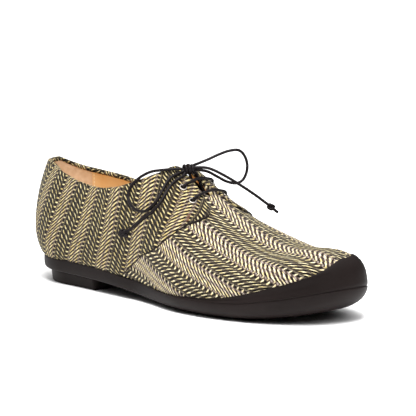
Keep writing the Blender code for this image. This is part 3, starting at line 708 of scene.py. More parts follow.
# Spun polyester thread: nearly black, dull, its plies a little lighter. Along the quarters' front edges it
# also stands as painted shadow of the turned edge
thread_and_painted_shadow = mottled("dark_edge_thread", 0.6, 2.0, "#0B0908", "#241C17", Roughness=0.8,
                      Specular_IOR_Level=0.2)
for name, side in SIDES.items():
    feather = spaced([(side.sign * run, 0.0) for run in steps(0.0, run_at(QUARTER_SEAM_FOOT), 30)])
    back = spaced([(side.sign * 1e-6, lift) for lift in steps(0.0, top_lift(side.sign * 1e-6), 10)])
    front_places = [(side.sign * run_at(QUARTER_SEAM_FOOT), 0.0)]
    for seam in QUARTER_SEAM:
        turn = side.sign * run_at(seam.station)
        front_places.append((turn, lift_at_height(turn, seam.height)))
    top_places = [(side.sign * run, top_lift(side.sign * run)) for run in
                  steps(1e-6, HEEL_SHARE, 8) + steps(HEEL_SHARE, run_at(THROAT_TOP - 4.0), 12)[1:]]
    for facing in FACING_EDGE:
        turn = side.sign * run_at(facing.station)
        top_places.append((turn, lift_at_distance(turn, getattr(facing, name))))
    front_places.append(top_places[-1])
    front, top = spaced(front_places), spaced(top_places)
    tip = surface(*top_places[-1])
    skin = Skin()
    points, charts = [], []
    corners = (feather(0.0), feather(1.0), top(0.0), top(1.0))
    for s, front_height in shares_to_edge(150):
        on_facing = 0.0
        if abs(top(s)[0]) > HEEL_SHARE:
            on_facing = ease((wall_at(top(s)[0]).x - THROAT_TOP) / FACING_BLEND + 0.5)
        row, chart_row = [], []
        for t, top_height in shares_to_edge(60):
            if on_facing < 1.0 and t > FACING_EDGE_SHARE:
                if top_height == EDGE_UNDER[1]:
                    t += (1.0 - t) * (1.0 - on_facing)
                top_height += (1.0 - top_height) * (1.0 - on_facing)
            sides = [(1 - t) * feather(s)[i] + t * top(s)[i] + (1 - s) * back(t)[i] + s * front(t)[i]
                     for i in (0, 1)]
            blend = [(1 - s) * (1 - t) * corners[0][i] + s * (1 - t) * corners[1][i]
                     + (1 - s) * t * corners[2][i] + s * t * corners[3][i] for i in (0, 1)]
            turn, lift = sides[0] - blend[0], sides[1] - blend[1]
            tapered = ease(up_wall(turn, lift) / QUARTER_FOOT_TAPER)
            height = QUARTER_FOOT + (QUARTER_THICKNESS - QUARTER_FOOT) * tapered
            near = (surface(turn, lift) - tip).length / TIP_LIFTED_WITHIN
            height += TIP_LIFTED * math.exp(-near * near)
            row.append(proud(turn, lift, height * front_height * top_height))
            chart_row.append(quarter_chart(turn, lift))
        points.append(row)
        charts.append(chart_row)
    skin.grid(points, charts, turned=side.sign < 0)
    skin.punch(eyelet_axes, EYELET_BARREL)
    quarter = skin.make(f"quarter_{name}", "herringbone_wool", quarter_tweed)
    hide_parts("upper")
    # A dark cord in the seam's corner: thread, and painted shadow of the turned edge
    front_lines[name] = [proud(*front(t), EDGE_THREAD_OVER) for t in steps(0.02, 1.0, 90)]
    # Painted shadow: a thicker dark cord fills the gap under the lifted tip
    tip_over = EDGE_THREAD_OVER + TIP_SHADOW_RADIUS / 2.0
    tip_shadow_lines[name] = [proud(*front(t), tip_over) for t in steps(*TIP_GAP, 20)]

# Collar fold. The top of the quarters is turned over the edge of the lining and stitched inside.
# It shows as a round lip of the same tweed with a narrow band of it inside the shoe.
FOLD_INSIDE = 0.2
FOLD_DEPTH = 1.0
skin = Skin()
for side in SIDES.values():
    points, charts = [], []
    for run in steps(0.0, HEEL_SHARE, 20) + steps(HEEL_SHARE, run_at(THROAT_TOP), 60)[1:]:
        turn = side.sign * max(run, 1e-6)
        lift = top_lift(turn)
        up = (surface(turn, lift + PROBE) - surface(turn, lift - PROBE)).normalized()
        out = outward(turn, lift)
        half = (QUARTER_THICKNESS + WALL + FOLD_INSIDE) / 2.0
        middle = surface(turn, lift) + out * (QUARTER_THICKNESS - half)
        lip = [middle + out * half * math.cos(a) + up * COLLAR_FOLD * math.sin(a)
               for a in steps(0.0, math.pi, 12)]
        lip += [lip[-1] - up * depth for depth in steps(0.0, FOLD_DEPTH, 3)[1:]]
        points.append(lip)
        across, height = quarter_chart(turn, lift)
        lengths = [0.0]
        for before, after in zip(lip, lip[1:]):
            lengths.append(lengths[-1] + (after - before).length)
        charts.append([(across, height + length) for length in lengths])
    skin.grid(points, charts, turned=side.sign < 0)
collar = skin.make("collar_fold", "herringbone_wool", quarter_tweed)
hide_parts("upper")

# Lining. Tan leather bonded inside the whole upper, with a pocket of pale suede sewn in round the heel.
# The pocket's front edges are stitched down in a line of pale thread.
HEEL_POCKET_EDGE = 4.0
POCKET_STITCH_LINE = 5.4
POCKET_STITCH = 2.6
POCKET_STITCH_LENGTH = 1.69
POCKET_STITCH_HALF_WIDTH = 0.4
THROAT_PAINTED_SHADE_START = 119.0
LINING_ROWS = 26
skin = Skin()
for side in SIDES.values():
    points, charts = [], []
    collar_runs = steps(0.0, HEEL_SHARE, 18) + steps(HEEL_SHARE, run_at(THROAT_TOP), 34)[1:]
    for run in collar_runs + vamp_runs[VAMP_COLUMNS[0] + 1:]:
        turn = side.sign * max(run, 1e-6)
        lifts = steps(0.0, top_lift(turn), LINING_ROWS)
        points.append([proud(turn, lift, -WALL) for lift in lifts])
        charts.append([(along(turn), up_wall(turn, lift)) for lift in lifts])
    skin.grid(points, charts, turned=side.sign > 0)
skin.punch(eyelet_axes, EYELET_BARREL)
# Tanned lining leather, smooth and softly blotched, and suede with a short even nap, both without gloss
lining_leather, tree, shader = new_material("tan_and_suede_lining", Roughness=0.6, Specular_IOR_Level=0.3)
chart = add(tree, "UVMap", uv_map="chart")
place = add(tree, "SeparateXYZ", {0: chart})
blotch = add(tree, "TexNoise", {"Vector": chart, "Scale": 1 / 16.0, "Detail": 3.0})
tone = add(tree, "MapRange", {0: blotch, 1: 0.3, 2: 0.7})
grain_side = add(tree, "MixRGB", {0: tone, 1: linear("#EAC389"), 2: linear("#F2D6A5")})
nap = add(tree, "TexNoise", {"Vector": chart, "Scale": 1 / 5.0, "Detail": 4.0})
nap_tone = add(tree, "MapRange", {0: nap, 1: 0.3, 2: 0.7})
suede = add(tree, "MixRGB", {0: nap_tone, 1: linear("#DABF9E"), 2: linear("#EEDAC2")})
pocket = add(tree, "Math", {0: place.outputs[0], 1: HEEL_POCKET_EDGE}, operation="LESS_THAN")
lining_colour = add(tree, "MixRGB", {0: pocket, 1: grain_side, 2: suede})
# Painted shade: the lining from the throat's top forward, behind the eyelets, is coloured near black as the
# shade inside the slot
throat_painted_shade = add(tree, "Math", {0: place.outputs[0], 1: THROAT_PAINTED_SHADE_START}, operation="GREATER_THAN")
lining_colour = add(tree, "MixRGB", {0: throat_painted_shade, 1: lining_colour, 2: linear("#2A1B10")})
# Pale stitches along the pocket's edge
beside = add(tree, "Math", {0: place.outputs[0], 1: POCKET_STITCH_LINE, 2: POCKET_STITCH_HALF_WIDTH},
             operation="COMPARE")
pitch = add(tree, "Math", {0: place.outputs[1], 1: POCKET_STITCH}, operation="FLOORED_MODULO")
on_stitch = add(tree, "Math", {0: pitch, 1: POCKET_STITCH_LENGTH}, operation="LESS_THAN")
stitch = add(tree, "Math", {0: beside, 1: on_stitch}, operation="MULTIPLY")
lining_colour = add(tree, "MixRGB", {0: stitch, 1: lining_colour, 2: linear("#FBEFD2")})
tree.links.new(lining_colour.outputs[0], shader.inputs["Base Color"])
pores = add(tree, "TexNoise", {"Vector": chart, "Scale": 1 / 0.5, "Detail": 2.0})
bump = add(tree, "Bump", {"Height": pores, "Strength": 0.3, "Distance": 0.12 * MM})
tree.links.new(bump.outputs[0], shader.inputs["Normal"])
lining = skin.make("lining", "lining_leather", lining_leather)
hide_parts("upper")

# Tongue. A strip of the lining leather, stitched in behind the vamp and lying under the facings.
# Only its middle shows, in the shadow between the facings, and it is painted near black with that shade.
TONGUE_THICKNESS = 1.8
TONGUE_HALF_WIDTH = 19.0
TONGUE_EDGE = 2.0
TONGUE_PINCH = 0.35
Tongue = namedtuple("Tongue", "station depth")
TONGUE = (
    Tongue(116, 3.4),
    Tongue(150, 3.4),
    Tongue(162, 1.2),
    Tongue(172, 0.5),
)
tongue_depth_at = curve_through(TONGUE, "depth")
skin = Skin()
faces = {0.0: [], TONGUE_THICKNESS: []}
for station in steps(TONGUE[0].station, TONGUE[-1].station, 36):
    for deeper, face in faces.items():
        row = []
        for across in steps(-TONGUE_HALF_WIDTH, TONGUE_HALF_WIDTH, 24):
            turn = math.copysign(run_at(station), across)
            pinch = TONGUE_PINCH * ease((abs(across) - TONGUE_HALF_WIDTH + TONGUE_EDGE) / TONGUE_EDGE)
            depth = tongue_depth_at(station) + deeper + pinch * (1.0 if deeper == 0.0 else -1.0)
            row.append(proud(turn, lift_at_distance(turn, abs(across)), -WALL - depth))
        face.append(row)
top_face, under_face = faces.values()
skin.grid(top_face, turned=True)
skin.grid(under_face)
for border in (0, -1):
    skin.grid([top_face[border], under_face[border]], turned=border == -1)
    skin.grid([[row[border] for row in face] for face in (top_face, under_face)], turned=border == 0)
# Painted shade: the tongue is coloured near black, the shade of the gap between the facings
tongue_painted_shade = leather("tongue_leather_painted_shade", "#2A1C12", "#3A281A", 0.6)
tongue = skin.make("tongue_leather", "lining_leather", tongue_painted_shade)
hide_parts("tongue")

# Eyelets. Four small nickel plated brass rings, rolled over the edge of a punched hole in each facing.
# Each stands a little proud of the wool.
EYELET_LIFT = 0.75
EYELET_SECTION = ((1.5, -3.6), (1.5, 0.30), (1.58, 0.62), (1.80, 0.86), (2.10, 0.92), (2.36, 0.82),
                  (2.55, 0.60), (2.60, 0.35), (2.52, 0.12), (2.2, 0.05))
# Nickel plate: a bright satin metal, clouded by wear
nickel = mottled("nickel_plate", 0.9, 3.0, "#8F8880", "#BDB7AE", Metallic=1.0, Roughness=0.34)
for eyelet, (middle, axis) in zip(EYELETS, eyelet_axes):
    turned = axis.to_track_quat("Z", "Y")
    rings = []
    for angle in steps(0.0, 2.0 * math.pi, 40):
        spoke = Vector((math.cos(angle), math.sin(angle), 0.0))
        rings.append([middle + turned @ (spoke * radius + Vector((0.0, 0.0, EYELET_LIFT + height)))
                      for radius, height in EYELET_SECTION])
    skin = Skin()
    skin.grid(rings, turned=True)
    ring = skin.make(f"eyelet_ring_{eyelet.name}_{eyelet.side}", "eyelet_nickel", nickel)
    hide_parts(f"eyelet_{eyelet.name}_{eyelet.side}")

# Insole. A thin board covered in the lining leather, lying on the sole inside the upper.
# Its edge rises a little against the walls.
INSOLE_CLEARANCE = 0.2
INSOLE_EDGE = ((0.0, 0.3), (0.0, 2.5), (0.4, 3.2), (1.2, 3.5), (3.5, 3.4), (8.0, 3.3))


def round_the_foot(heel, between, toe):
    """Runs from the heel's back to the toe's tip, with a number of steps for each stretch."""
    runs = steps(0.0, HEEL_SHARE, heel) + steps(HEEL_SHARE, 1.0 - TOE_SHARE, between)[1:]
    return runs + steps(1.0 - TOE_SHARE, 1.0, toe)[1:]


def span(skin, rungs, row, turned):
    """Closes a piece from its outer to its inner side, along one row of the columns of both."""
    skin.grid([[a[row].lerp(b[row], share) for share in steps(0.0, 1.0, 8)]
               for a, b in zip(rungs["outer"], rungs["inner"])], turned=turned)


skin = Skin()
rungs = {}
for name, side in SIDES.items():
    columns = []
    for run in round_the_foot(16, 50, 18):
        turn = side.sign * run
        wall = wall_at(turn)
        out = wall.feather - WALL - INSOLE_CLEARANCE
        column = []
        for inset, height in INSOLE_EDGE:
            x = wall.x + wall.ahead * (out - inset)
            column.append(Vector((x, wall.y + wall.aside * (out - inset), sole_top_at(x) + height)))
        columns.append(column)
    skin.grid(columns, turned=side.sign < 0)
    rungs[name] = columns
span(skin, rungs, 0, turned=False)
span(skin, rungs, -1, turned=True)
insole = skin.make("insole_sock", "lining_leather", tan_leather)
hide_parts("insole")

# Sole and toe bumper. One moulding of black rubber. It cups the toe in a thick rounded guard that thins out
# along the ball of the foot, and its edge rolls under to the tread.
HEEL_MARGIN = 0.8
TOE_MARGIN = 3.0
MARGIN_START = 121.0
MARGIN_END = 186.0
BUMPER_LIP = 1.0
Bumper = namedtuple("Bumper", "station outer inner")
BUMPER = (
    Bumper(146, 0.0, 0.0),
    Bumper(158, 0.5, 0.5),
    Bumper(168, 1.2, 1.2),
    Bumper(184, 1.9, 1.9),
    Bumper(194, 3.0, 3.4),
    Bumper(204, 4.6, 5.6),
    Bumper(222, 7.2, 11.0),
    Bumper(237, 9.3, 16.5),
    Bumper(248, 12.2, 19.6),
    Bumper(256, 17.5, 17.5),
)
BUMPER_RIM = ((1.0, 0.45), (0.99, 0.78), (0.95, 0.95), (0.88, 1.0))
BUMPER_WALL = (0.74, 0.58, 0.42, 0.28, 0.15, 0.08, 0.03)
BUMPER_THINNING = 1.7
BUMPER_TUCK = 0.4
SOLE_TUCK = 1.2
GROOVE = 0.45
GROOVE_FROM = 1.0
GROOVE_OVER = 3.0
SoleEdge = namedtuple("SoleEdge", "inset toe_inset drop")
SOLE_EDGE = (
    SoleEdge(0.0, 0.0, 0.0),
    SoleEdge(-0.1, -0.05, 0.03),
    SoleEdge(-0.2, -0.05, 0.08),
    SoleEdge(-0.35, 0.1, 0.2),
    SoleEdge(-0.35, 0.8, 0.35),
    SoleEdge(-0.15, 1.9, 0.52),
    SoleEdge(0.2, 3.4, 0.66),
    SoleEdge(0.9, 5.8, 0.79),
    SoleEdge(1.9, 9.0, 0.90),
    SoleEdge(3.2, 12.4, 0.965),
    SoleEdge(5.0, 16.0, 1.0),
)
HEEL_ROLL = 0.25
HEEL_ROLL_END = 90.0
HEEL_ROLL_FADE = 60.0
TOE_ROLL_START = 110.0
TOE_ROLL_END = 175.0
bumper_at = {name: curve_through(BUMPER, name) for name in SIDES}


def margin_at(turn):
    """How far the sole's edge stands out beyond the feather line."""
    share = ease((wall_at(turn).x - MARGIN_START) / (MARGIN_END - MARGIN_START))
    return HEEL_MARGIN + (TOE_MARGIN - HEEL_MARGIN) * share


def spread(turn, out, height_at):
    """Point at a distance from the section's centre, at the height that a function of the station gives."""
    wall = wall_at(turn)
    station = wall.x + wall.ahead * out
    return Vector((station, wall.y + wall.aside * out, height_at(station)))


def moulded_rubber(name, plain, light):
    """Black moulded rubber: nearly black, matt to satin, with the mould's fine stipple and dusty clouds."""
    made, tree, shader = new_material(name, Roughness=0.5, Specular_IOR_Level=0.06)
    place = add(tree, "TexCoord").outputs["Object"]
    cloud = add(tree, "TexNoise", {"Vector": place, "Scale": 1 / (30 * MM), "Detail": 4.0})
    tone = add(tree, "MapRange", {0: cloud, 1: 0.35, 2: 0.7})
    body = add(tree, "MixRGB", {0: tone, 1: linear(plain), 2: linear(light)})
    tree.links.new(body.outputs[0], shader.inputs["Base Color"])
    dust = add(tree, "MapRange", {0: cloud, 1: 0.3, 2: 0.7, 3: 0.46, 4: 0.58})
    tree.links.new(dust.outputs[0], shader.inputs["Roughness"])
    stipple = add(tree, "TexNoise", {"Vector": place, "Scale": 1 / (0.45 * MM), "Detail": 2.0})
    bump = add(tree, "Bump", {"Height": stipple, "Strength": 0.25, "Distance": 0.1 * MM})
    tree.links.new(bump.outputs[0], shader.inputs["Normal"])
    return made


sole_rubber = moulded_rubber("moulded_sole_rubber", "#191413", "#211B1A")
bumper_rubber = moulded_rubber("moulded_bumper_rubber", "#171211", "#1E1817")
skin = Skin()
rungs = {}
for name, side in SIDES.items():
    columns = []
    for run in round_the_foot(24, 80, 30):
        turn = side.sign * run
        wall = wall_at(turn)
        margin = margin_at(turn)
        lip = min(BUMPER_LIP, margin)
        station = wall.x + wall.ahead * wall.feather
        tall = bumper_at[name](station)
        top = lift_at_height(turn, wall.foot_z + tall)
        groove = GROOVE * ease((tall - GROOVE_FROM) / GROOVE_OVER)
        layers = [(share, lip * thick) for share, thick in BUMPER_RIM]
        layers += [(share, margin + (lip - margin) * ease(share * BUMPER_THINNING))
                   for share in BUMPER_WALL]
        layers[-1] = (layers[-1][0], layers[-1][1] - groove)
        column = [spread(turn, wall.feather - SOLE_TUCK, sole_top_at), proud(turn, top, -BUMPER_TUCK)]
        for share, thick in layers:
            out = outward(turn, top * share)
            out.z = max(out.z, 0.0)
            column.append(surface(turn, top * share) + out.normalized() * thick)
        rolled = HEEL_ROLL + (1.0 - HEEL_ROLL) * ease((wall.x - HEEL_ROLL_END) / HEEL_ROLL_FADE)
        at_toe = ease((station - TOE_ROLL_START) / (TOE_ROLL_END - TOE_ROLL_START))
        for edge in SOLE_EDGE:
            inset = edge.inset * rolled + (edge.toe_inset - edge.inset) * at_toe
            out = wall.feather + margin - inset - (groove if edge.drop == 0.0 else 0.0)
            column.append(spread(turn, out, sole_top_at).lerp(spread(turn, out, tread_at), edge.drop))
        columns.append(column)
    edge_row = len(columns[0]) - len(SOLE_EDGE)
    skin.grid([column[:edge_row + 1] for column in columns], turned=side.sign > 0, slot=1)
    skin.grid([column[edge_row:] for column in columns], turned=side.sign > 0)
    rungs[name] = columns
span(skin, rungs, 0, turned=True)
span(skin, rungs, -1, turned=False)
sole = skin.make("sole_and_bumper", "sole_rubber", sole_rubber, bumper_rubber)
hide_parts("outsole", "toe_bumper")

# Heel. A low block of the same rubber, cemented under the sole, set in from its edge.
# Its walls lean in a little and its foot is rounded by the mould.
HEEL_BREAST = 63.0
HEEL_WALL = ((4.6, 1.0), (4.7, 0.8), (4.9, 0.5), (5.2, 0.25), (5.4, 0.11), (5.65, 0.04), (6.1, 0.0),
             (8.2, 0.0))
skin = Skin()
rungs = {}
for name, side in SIDES.items():
    columns = []
    for run in steps(0.0, HEEL_SHARE, 24) + steps(HEEL_SHARE, run_at(HEEL_BREAST), 14)[1:]:
        turn = side.sign * run
        edge = wall_at(turn).feather + HEEL_MARGIN
        columns.append([spread(turn, edge - inset, lambda x, share=share: tread_at(x) * share)
                        for inset, share in HEEL_WALL])
    skin.grid(columns, turned=side.sign > 0)
    rungs[name] = columns
span(skin, rungs, 0, turned=True)
span(skin, rungs, -1, turned=False)
skin.grid([[a.lerp(b, share) for share in steps(0.0, 1.0, 8)]
           for a, b in zip(rungs["outer"][-1], rungs["inner"][-1])], turned=True)
heel = skin.make("heel_rubber", "sole_rubber", sole_rubber)
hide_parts("heel_block")

# Lace bars. One round waxed cotton cord, a little under 2 mm thick, is threaded through the four eyelets.
# It crosses the throat in two straight bars outside, goes in at the eyelets, and rises between the facings.
LACE_RADIUS = 0.92
LACE_STEP = 0.8
BRAID_PITCH = 1.2
BRAID_STRANDS = 4.0
CORD_END = ((0.0, 1.0), (0.2, 0.85), (0.4, 0.5), (0.45, 0.05))
BAR_OVER = 2.5
BAR_RISE = ((0.0, -4.5), (0.0, -1.5), (0.0, 0.6), (0.25, 1.9), (0.9, 2.55), (2.4, 2.75))
RISERS = (
    ((133.0, 4.6, 66.5), (131.0, 3.0, 72.0), (129.6, 1.2, 77.5), (128.4, -1.8, 82.0)),
    ((130.5, -2.0, 68.5), (128.6, -2.0, 73.5), (127.6, -3.0, 78.0), (127.0, -4.6, 82.0)),
)


def smooth_route(points, step):
    """Points at about a step along a smooth curve through a route's own points."""
    padded = [points[0] * 2.0 - points[1], *points, points[-1] * 2.0 - points[-2]]
    fine = [points[0]]
    for a, b, c, d in zip(padded, padded[1:], padded[2:], padded[3:]):
        count = max(1, round((c - b).length / step))
        for i in range(1, count + 1):
            t = i / count
            fine.append(0.5 * (2 * b + (c - a) * t + (2 * a - 5 * b + 4 * c - d) * t * t
                               + (3 * b - a - 3 * c + d) * t ** 3))
    return fine


def cord_tube(skin, points, radius, sides=14, closed=False):
    """A round cord along points, its ends domed, charted by the way round it and the way along it."""
    count = len(points)
    heading = (points[1] - points[0]).normalized()
    across = heading.orthogonal().normalized()
    rings, charts, length = [], [], 0.0
    ends = (0, count - 1)
    for i, point in enumerate(points):
        before, after = points[max(i - 1, 0)], points[min(i + 1, count - 1)]
        if closed and i in ends:
            before, after = points[-2], points[1]
        heading = (after - before).normalized()
        across = (across - heading * across.dot(heading)).normalized()
        aside = heading.cross(across)
        length += (point - points[i - 1]).length if i else 0.0
        dome = [(0.0, radius)]
        if not closed and i == 0:
            dome = [(-beyond * radius, wide * radius) for beyond, wide in reversed(CORD_END)]
        elif not closed and i == count - 1:
            dome = [(beyond * radius, wide * radius) for beyond, wide in CORD_END]
        for beyond, wide in dome:
            rings.append([point + heading * beyond + (across * math.cos(a) + aside * math.sin(a)) * wide
                          for a in steps(0.0, 2.0 * math.pi, sides)])
            charts.append([(2.0 * math.pi * radius * share, length + beyond)
                           for share in steps(0.0, 1.0, sides)])
    skin.grid(rings, charts, turned=True)


# Waxed cotton braid: black, with a dull gleam along its top
lace_cord, tree, shader = new_material("waxed_cotton_cord", Roughness=0.36, Specular_IOR_Level=0.1)
chart = add(tree, "UVMap", uv_map="chart")
place = add(tree, "SeparateXYZ", {0: chart})
# Strands braided each way round
around = add(tree, "Math", {0: place.outputs[0], 1: BRAID_STRANDS / LACE_RADIUS}, operation="MULTIPLY")
lengthways = add(tree, "Math", {0: place.outputs[1], 1: 2.0 * math.pi / BRAID_PITCH}, operation="MULTIPLY")
right_hand = add(tree, "Math", {0: lengthways, 1: around}, operation="ADD")
left_hand = add(tree, "Math", {0: lengthways, 1: around}, operation="SUBTRACT")
braid = add(tree, "Math", {0: add(tree, "Math", {0: right_hand}, operation="SINE"),
                           1: add(tree, "Math", {0: left_hand}, operation="SINE")}, operation="MULTIPLY")
bump = add(tree, "Bump", {"Height": braid, "Strength": 0.15, "Distance": 0.04 * MM})
tree.links.new(bump.outputs[0], shader.inputs["Normal"])
tone = add(tree, "MapRange", {0: braid, 1: -1.0, 2: 1.0})
colour = add(tree, "MixRGB", {0: tone, 1: linear("#151213"), 2: linear("#1E191B")})
tree.links.new(colour.outputs[0], shader.inputs["Base Color"])


def over_facing(station, across, over):
    """Point over the facings, at a distance from the ridge that is negative on the outer side."""
    turn = math.copysign(run_at(station), across)
    return proud(turn, lift_at_distance(turn, abs(across)), over)


for outer, inner in zip(EYELETS[:2], EYELETS[2:]):
    route = [(outer.station, inward - outer.from_ridge, over) for inward, over in BAR_RISE]
    end = [(inner.station, inner.from_ridge - inward, over) for inward, over in reversed(BAR_RISE)]
    start_across, end_across = route[-1][1], end[0][1]
    for share in steps(0.0, 1.0, 8)[1:-1]:
        route.append((outer.station + (inner.station - outer.station) * share,
                      start_across + (end_across - start_across) * share, BAR_OVER))
    skin = Skin()
    cord_tube(skin, smooth_route([over_facing(*place) for place in route + end], LACE_STEP), LACE_RADIUS)
    if outer.name == "upper":
        for riser in RISERS:
            cord_tube(skin, smooth_route([Vector(place) for place in riser], LACE_STEP), LACE_RADIUS)
    bar = skin.make(f"lace_bar_{outer.name}_cord", "lace_cord", lace_cord)
    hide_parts(f"lace_bar_{outer.name}")

# Edge threads. Dark thread runs in the corner where each quarter's turned edge is stitched down on the vamp,
# and stands also as the painted shadow of that edge.
# A thicker dark cord under the lifted tip is painted shadow, and a thread closes the back seam. A bar tack of
# brown thread by each tip takes the strain.
TACK = ((148.8, 57.8), (151.2, 54.2))
TACK_ROWS = (-0.35, 0.35)
TACK_RADIUS = 0.3
TACK_OVER = 0.1
BACK_SEAM_RADIUS = 0.4
BACK_SEAM_SUNK = 0.25
# Waxed brown thread: close satin stitches with lighter plies
tack_thread = mottled("brown_tack_thread", 0.5, 2.0, "#4A2A1E", "#7A5238", Roughness=0.7,
                      Specular_IOR_Level=0.25)
for name, side in SIDES.items():
    skin = Skin()
    cord_tube(skin, front_lines[name], EDGE_THREAD_RADIUS, sides=8)
    # Painted shadow under the lifted tip
    cord_tube(skin, tip_shadow_lines[name], TIP_SHADOW_RADIUS, sides=8)
    skin.make(f"seam_thread_{name}", "herringbone_wool", thread_and_painted_shadow)
    skin = Skin()
    for row in TACK_ROWS:
        bar = []
        for share in steps(0.0, 1.0, 6):
            station, height = [a + (b - a) * share for a, b in zip(*TACK)]
            turn = side.sign * run_at(station + row)
            bar.append(proud(turn, lift_at_height(turn, height), QUARTER_THICKNESS + TACK_OVER))
        cord_tube(skin, bar, TACK_RADIUS, sides=8)
    skin.make(f"bar_tack_{name}", "herringbone_wool", tack_thread)
skin = Skin()
back_seam = [proud(0.0, lift, QUARTER_THICKNESS - BACK_SEAM_SUNK) for lift in steps(0.02, top_lift(0.0), 40)]
cord_tube(skin, back_seam, BACK_SEAM_RADIUS, sides=8)
skin.make("back_seam_thread", "herringbone_wool", thread_and_painted_shadow)

# Bow. The same cord is tied in a bow behind the upper bar. Wax keeps its loops open and lets the inner one
# stand. Both ends are finished with an overhand knot.
KNOT = (127.2, -4.8, 82.5)
KNOT_AXIS = (0.4, 1.0, 0.0)
KNOT_PASS = 0.6
KNOT_WRAPS = ((-1.7, 2.6, 2.3, 12.0), (0.3, 2.9, 2.5, -4.0), (2.1, 2.5, 2.2, -18.0))
OnWool = namedtuple("OnWool", "station wool_height over")
Place = namedtuple("Place", "station offset height")
LOOP_OUTER = (
    Place(124.2, -8.4, 82.7),
    OnWool(119.5, 80.2, 2.6),
    OnWool(114.8, 79.8, 2.4),
    OnWool(109.5, 78.8, 2.2),
    OnWool(104.7, 75.4, 2.0),
    OnWool(101.6, 70.0, 1.8),
    OnWool(102.3, 64.6, 1.7),
    OnWool(106.7, 60.0, 1.6),
    OnWool(113.3, 57.6, 1.6),
    OnWool(120.2, 57.7, 1.7),
    OnWool(124.0, 60.2, 1.9),
    OnWool(126.0, 64.6, 2.0),
    OnWool(125.4, 69.1, 2.1),
    OnWool(124.2, 73.8, 2.2),
    OnWool(123.9, 76.6, 2.5),
    Place(125.5, -8.8, 80.7),
)
END_OUTER = (
    Place(128.2, -9.3, 79.0),
    OnWool(126.9, 76.0, 1.8),
    OnWool(126.8, 73.6, 1.6),
    OnWool(127.9, 69.0, 1.6),
    OnWool(128.5, 64.8, 1.6),
    OnWool(127.8, 60.6, 1.6),
    OnWool(125.4, 57.0, 1.6),
    OnWool(121.0, 53.9, 1.6),
    OnWool(115.7, 49.8, 1.6),
    OnWool(110.8, 46.2, 1.6),
    OnWool(107.4, 43.6, 1.8),
)
TIP_OUTER = OnWool(103.4, 42.4, 3.0)
LOOP_INNER = (
    Place(129.2, -1.5, 84.9),
    Place(130.0, 3.0, 86.0),
    Place(132.2, 8.6, 88.0),
    Place(134.5, 14.6, 90.4),
    Place(137.0, 21.5, 92.4),
    Place(139.4, 28.0, 92.3),
    Place(141.0, 32.0, 87.6),
    Place(141.6, 33.0, 80.8),
    Place(141.0, 30.6, 74.4),
    Place(139.4, 26.0, 71.8),
    Place(137.2, 19.6, 73.2),
    Place(134.6, 13.0, 77.0),
    Place(132.2, 7.0, 80.4),
    Place(129.6, -1.0, 82.1),
)
END_INNER = (
    Place(130.9, -2.5, 83.7),
    Place(136.0, 4.6, 83.0),
    Place(142.5, 11.6, 78.6),
    Place(149.8, 18.5, 72.6),
    Place(156.4, 24.4, 66.8),
    Place(162.5, 29.4, 61.1),
)
TIP_INNER = Place(164.6, 31.2, 59.0)
TIP_KNOT_LONG = {"outer": 2.2, "inner": 1.5}
TIP_KNOT_WIDE = {"outer": 0.72, "inner": 0.52}
TIP_BACK = {"outer": 2.2, "inner": 0.0}
TIP_TAIL = {"outer": 3.6, "inner": 5.2}
TIP_SAG = -0.06
TIP_TIGHT = 0.95


def in_route(row):
    """Point of a lace route, on the wool of the outer side or at a plain place."""
    if isinstance(row, Place):
        return Vector(row)
    turn = SIDES["outer"].sign * run_at(row.station)
    return proud(turn, lift_at_height(turn, row.wool_height), row.over)


def cord_length(points):
    return sum((b - a).length for a, b in zip(points, points[1:])) * MM


def hang(kind, name, rows, far_end, **on_it):
    """Makes one free length of the lace along its route."""
    route = smooth_route([in_route(row) for row in rows], LACE_STEP)
    skin = Skin()
    cord_tube(skin, route, LACE_RADIUS)
    piece = skin.make(f"lace_{kind}_{name}_cord", "lace_cord", lace_cord)
    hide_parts(f"lace_{kind}_{name}")
    in_frame(route[0])
    cord_length(route)
    [in_frame(point) for point in route]


skin = Skin()
axis = Vector(KNOT_AXIS).normalized()
turned = axis.to_track_quat("Z", "X")
for shift, tall, wide, tilt in KNOT_WRAPS:
    lean = Matrix.Rotation(math.radians(tilt), 3, "Y")
    middle = Vector(KNOT) + axis * shift
    wrap = [middle + turned @ (lean @ Vector((math.cos(a) * wide, math.sin(a) * tall, 0.0)))
            for a in steps(0.0, 2.0 * math.pi, 28)]
    cord_tube(skin, wrap, LACE_RADIUS, closed=True)
for start, goal in ((LOOP_OUTER[0], LOOP_INNER[0]), (LOOP_OUTER[-1], LOOP_INNER[-1]),
                    (END_OUTER[0], END_INNER[0])):
    start, goal = Vector(start), Vector(goal)
    route = [start, start.lerp(Vector(KNOT), KNOT_PASS), goal.lerp(Vector(KNOT), KNOT_PASS), goal]
    cord_tube(skin, smooth_route(route, LACE_STEP), LACE_RADIUS)
knot = skin.make("lace_knot_cord", "lace_cord", lace_cord)
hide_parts("lace_knot")

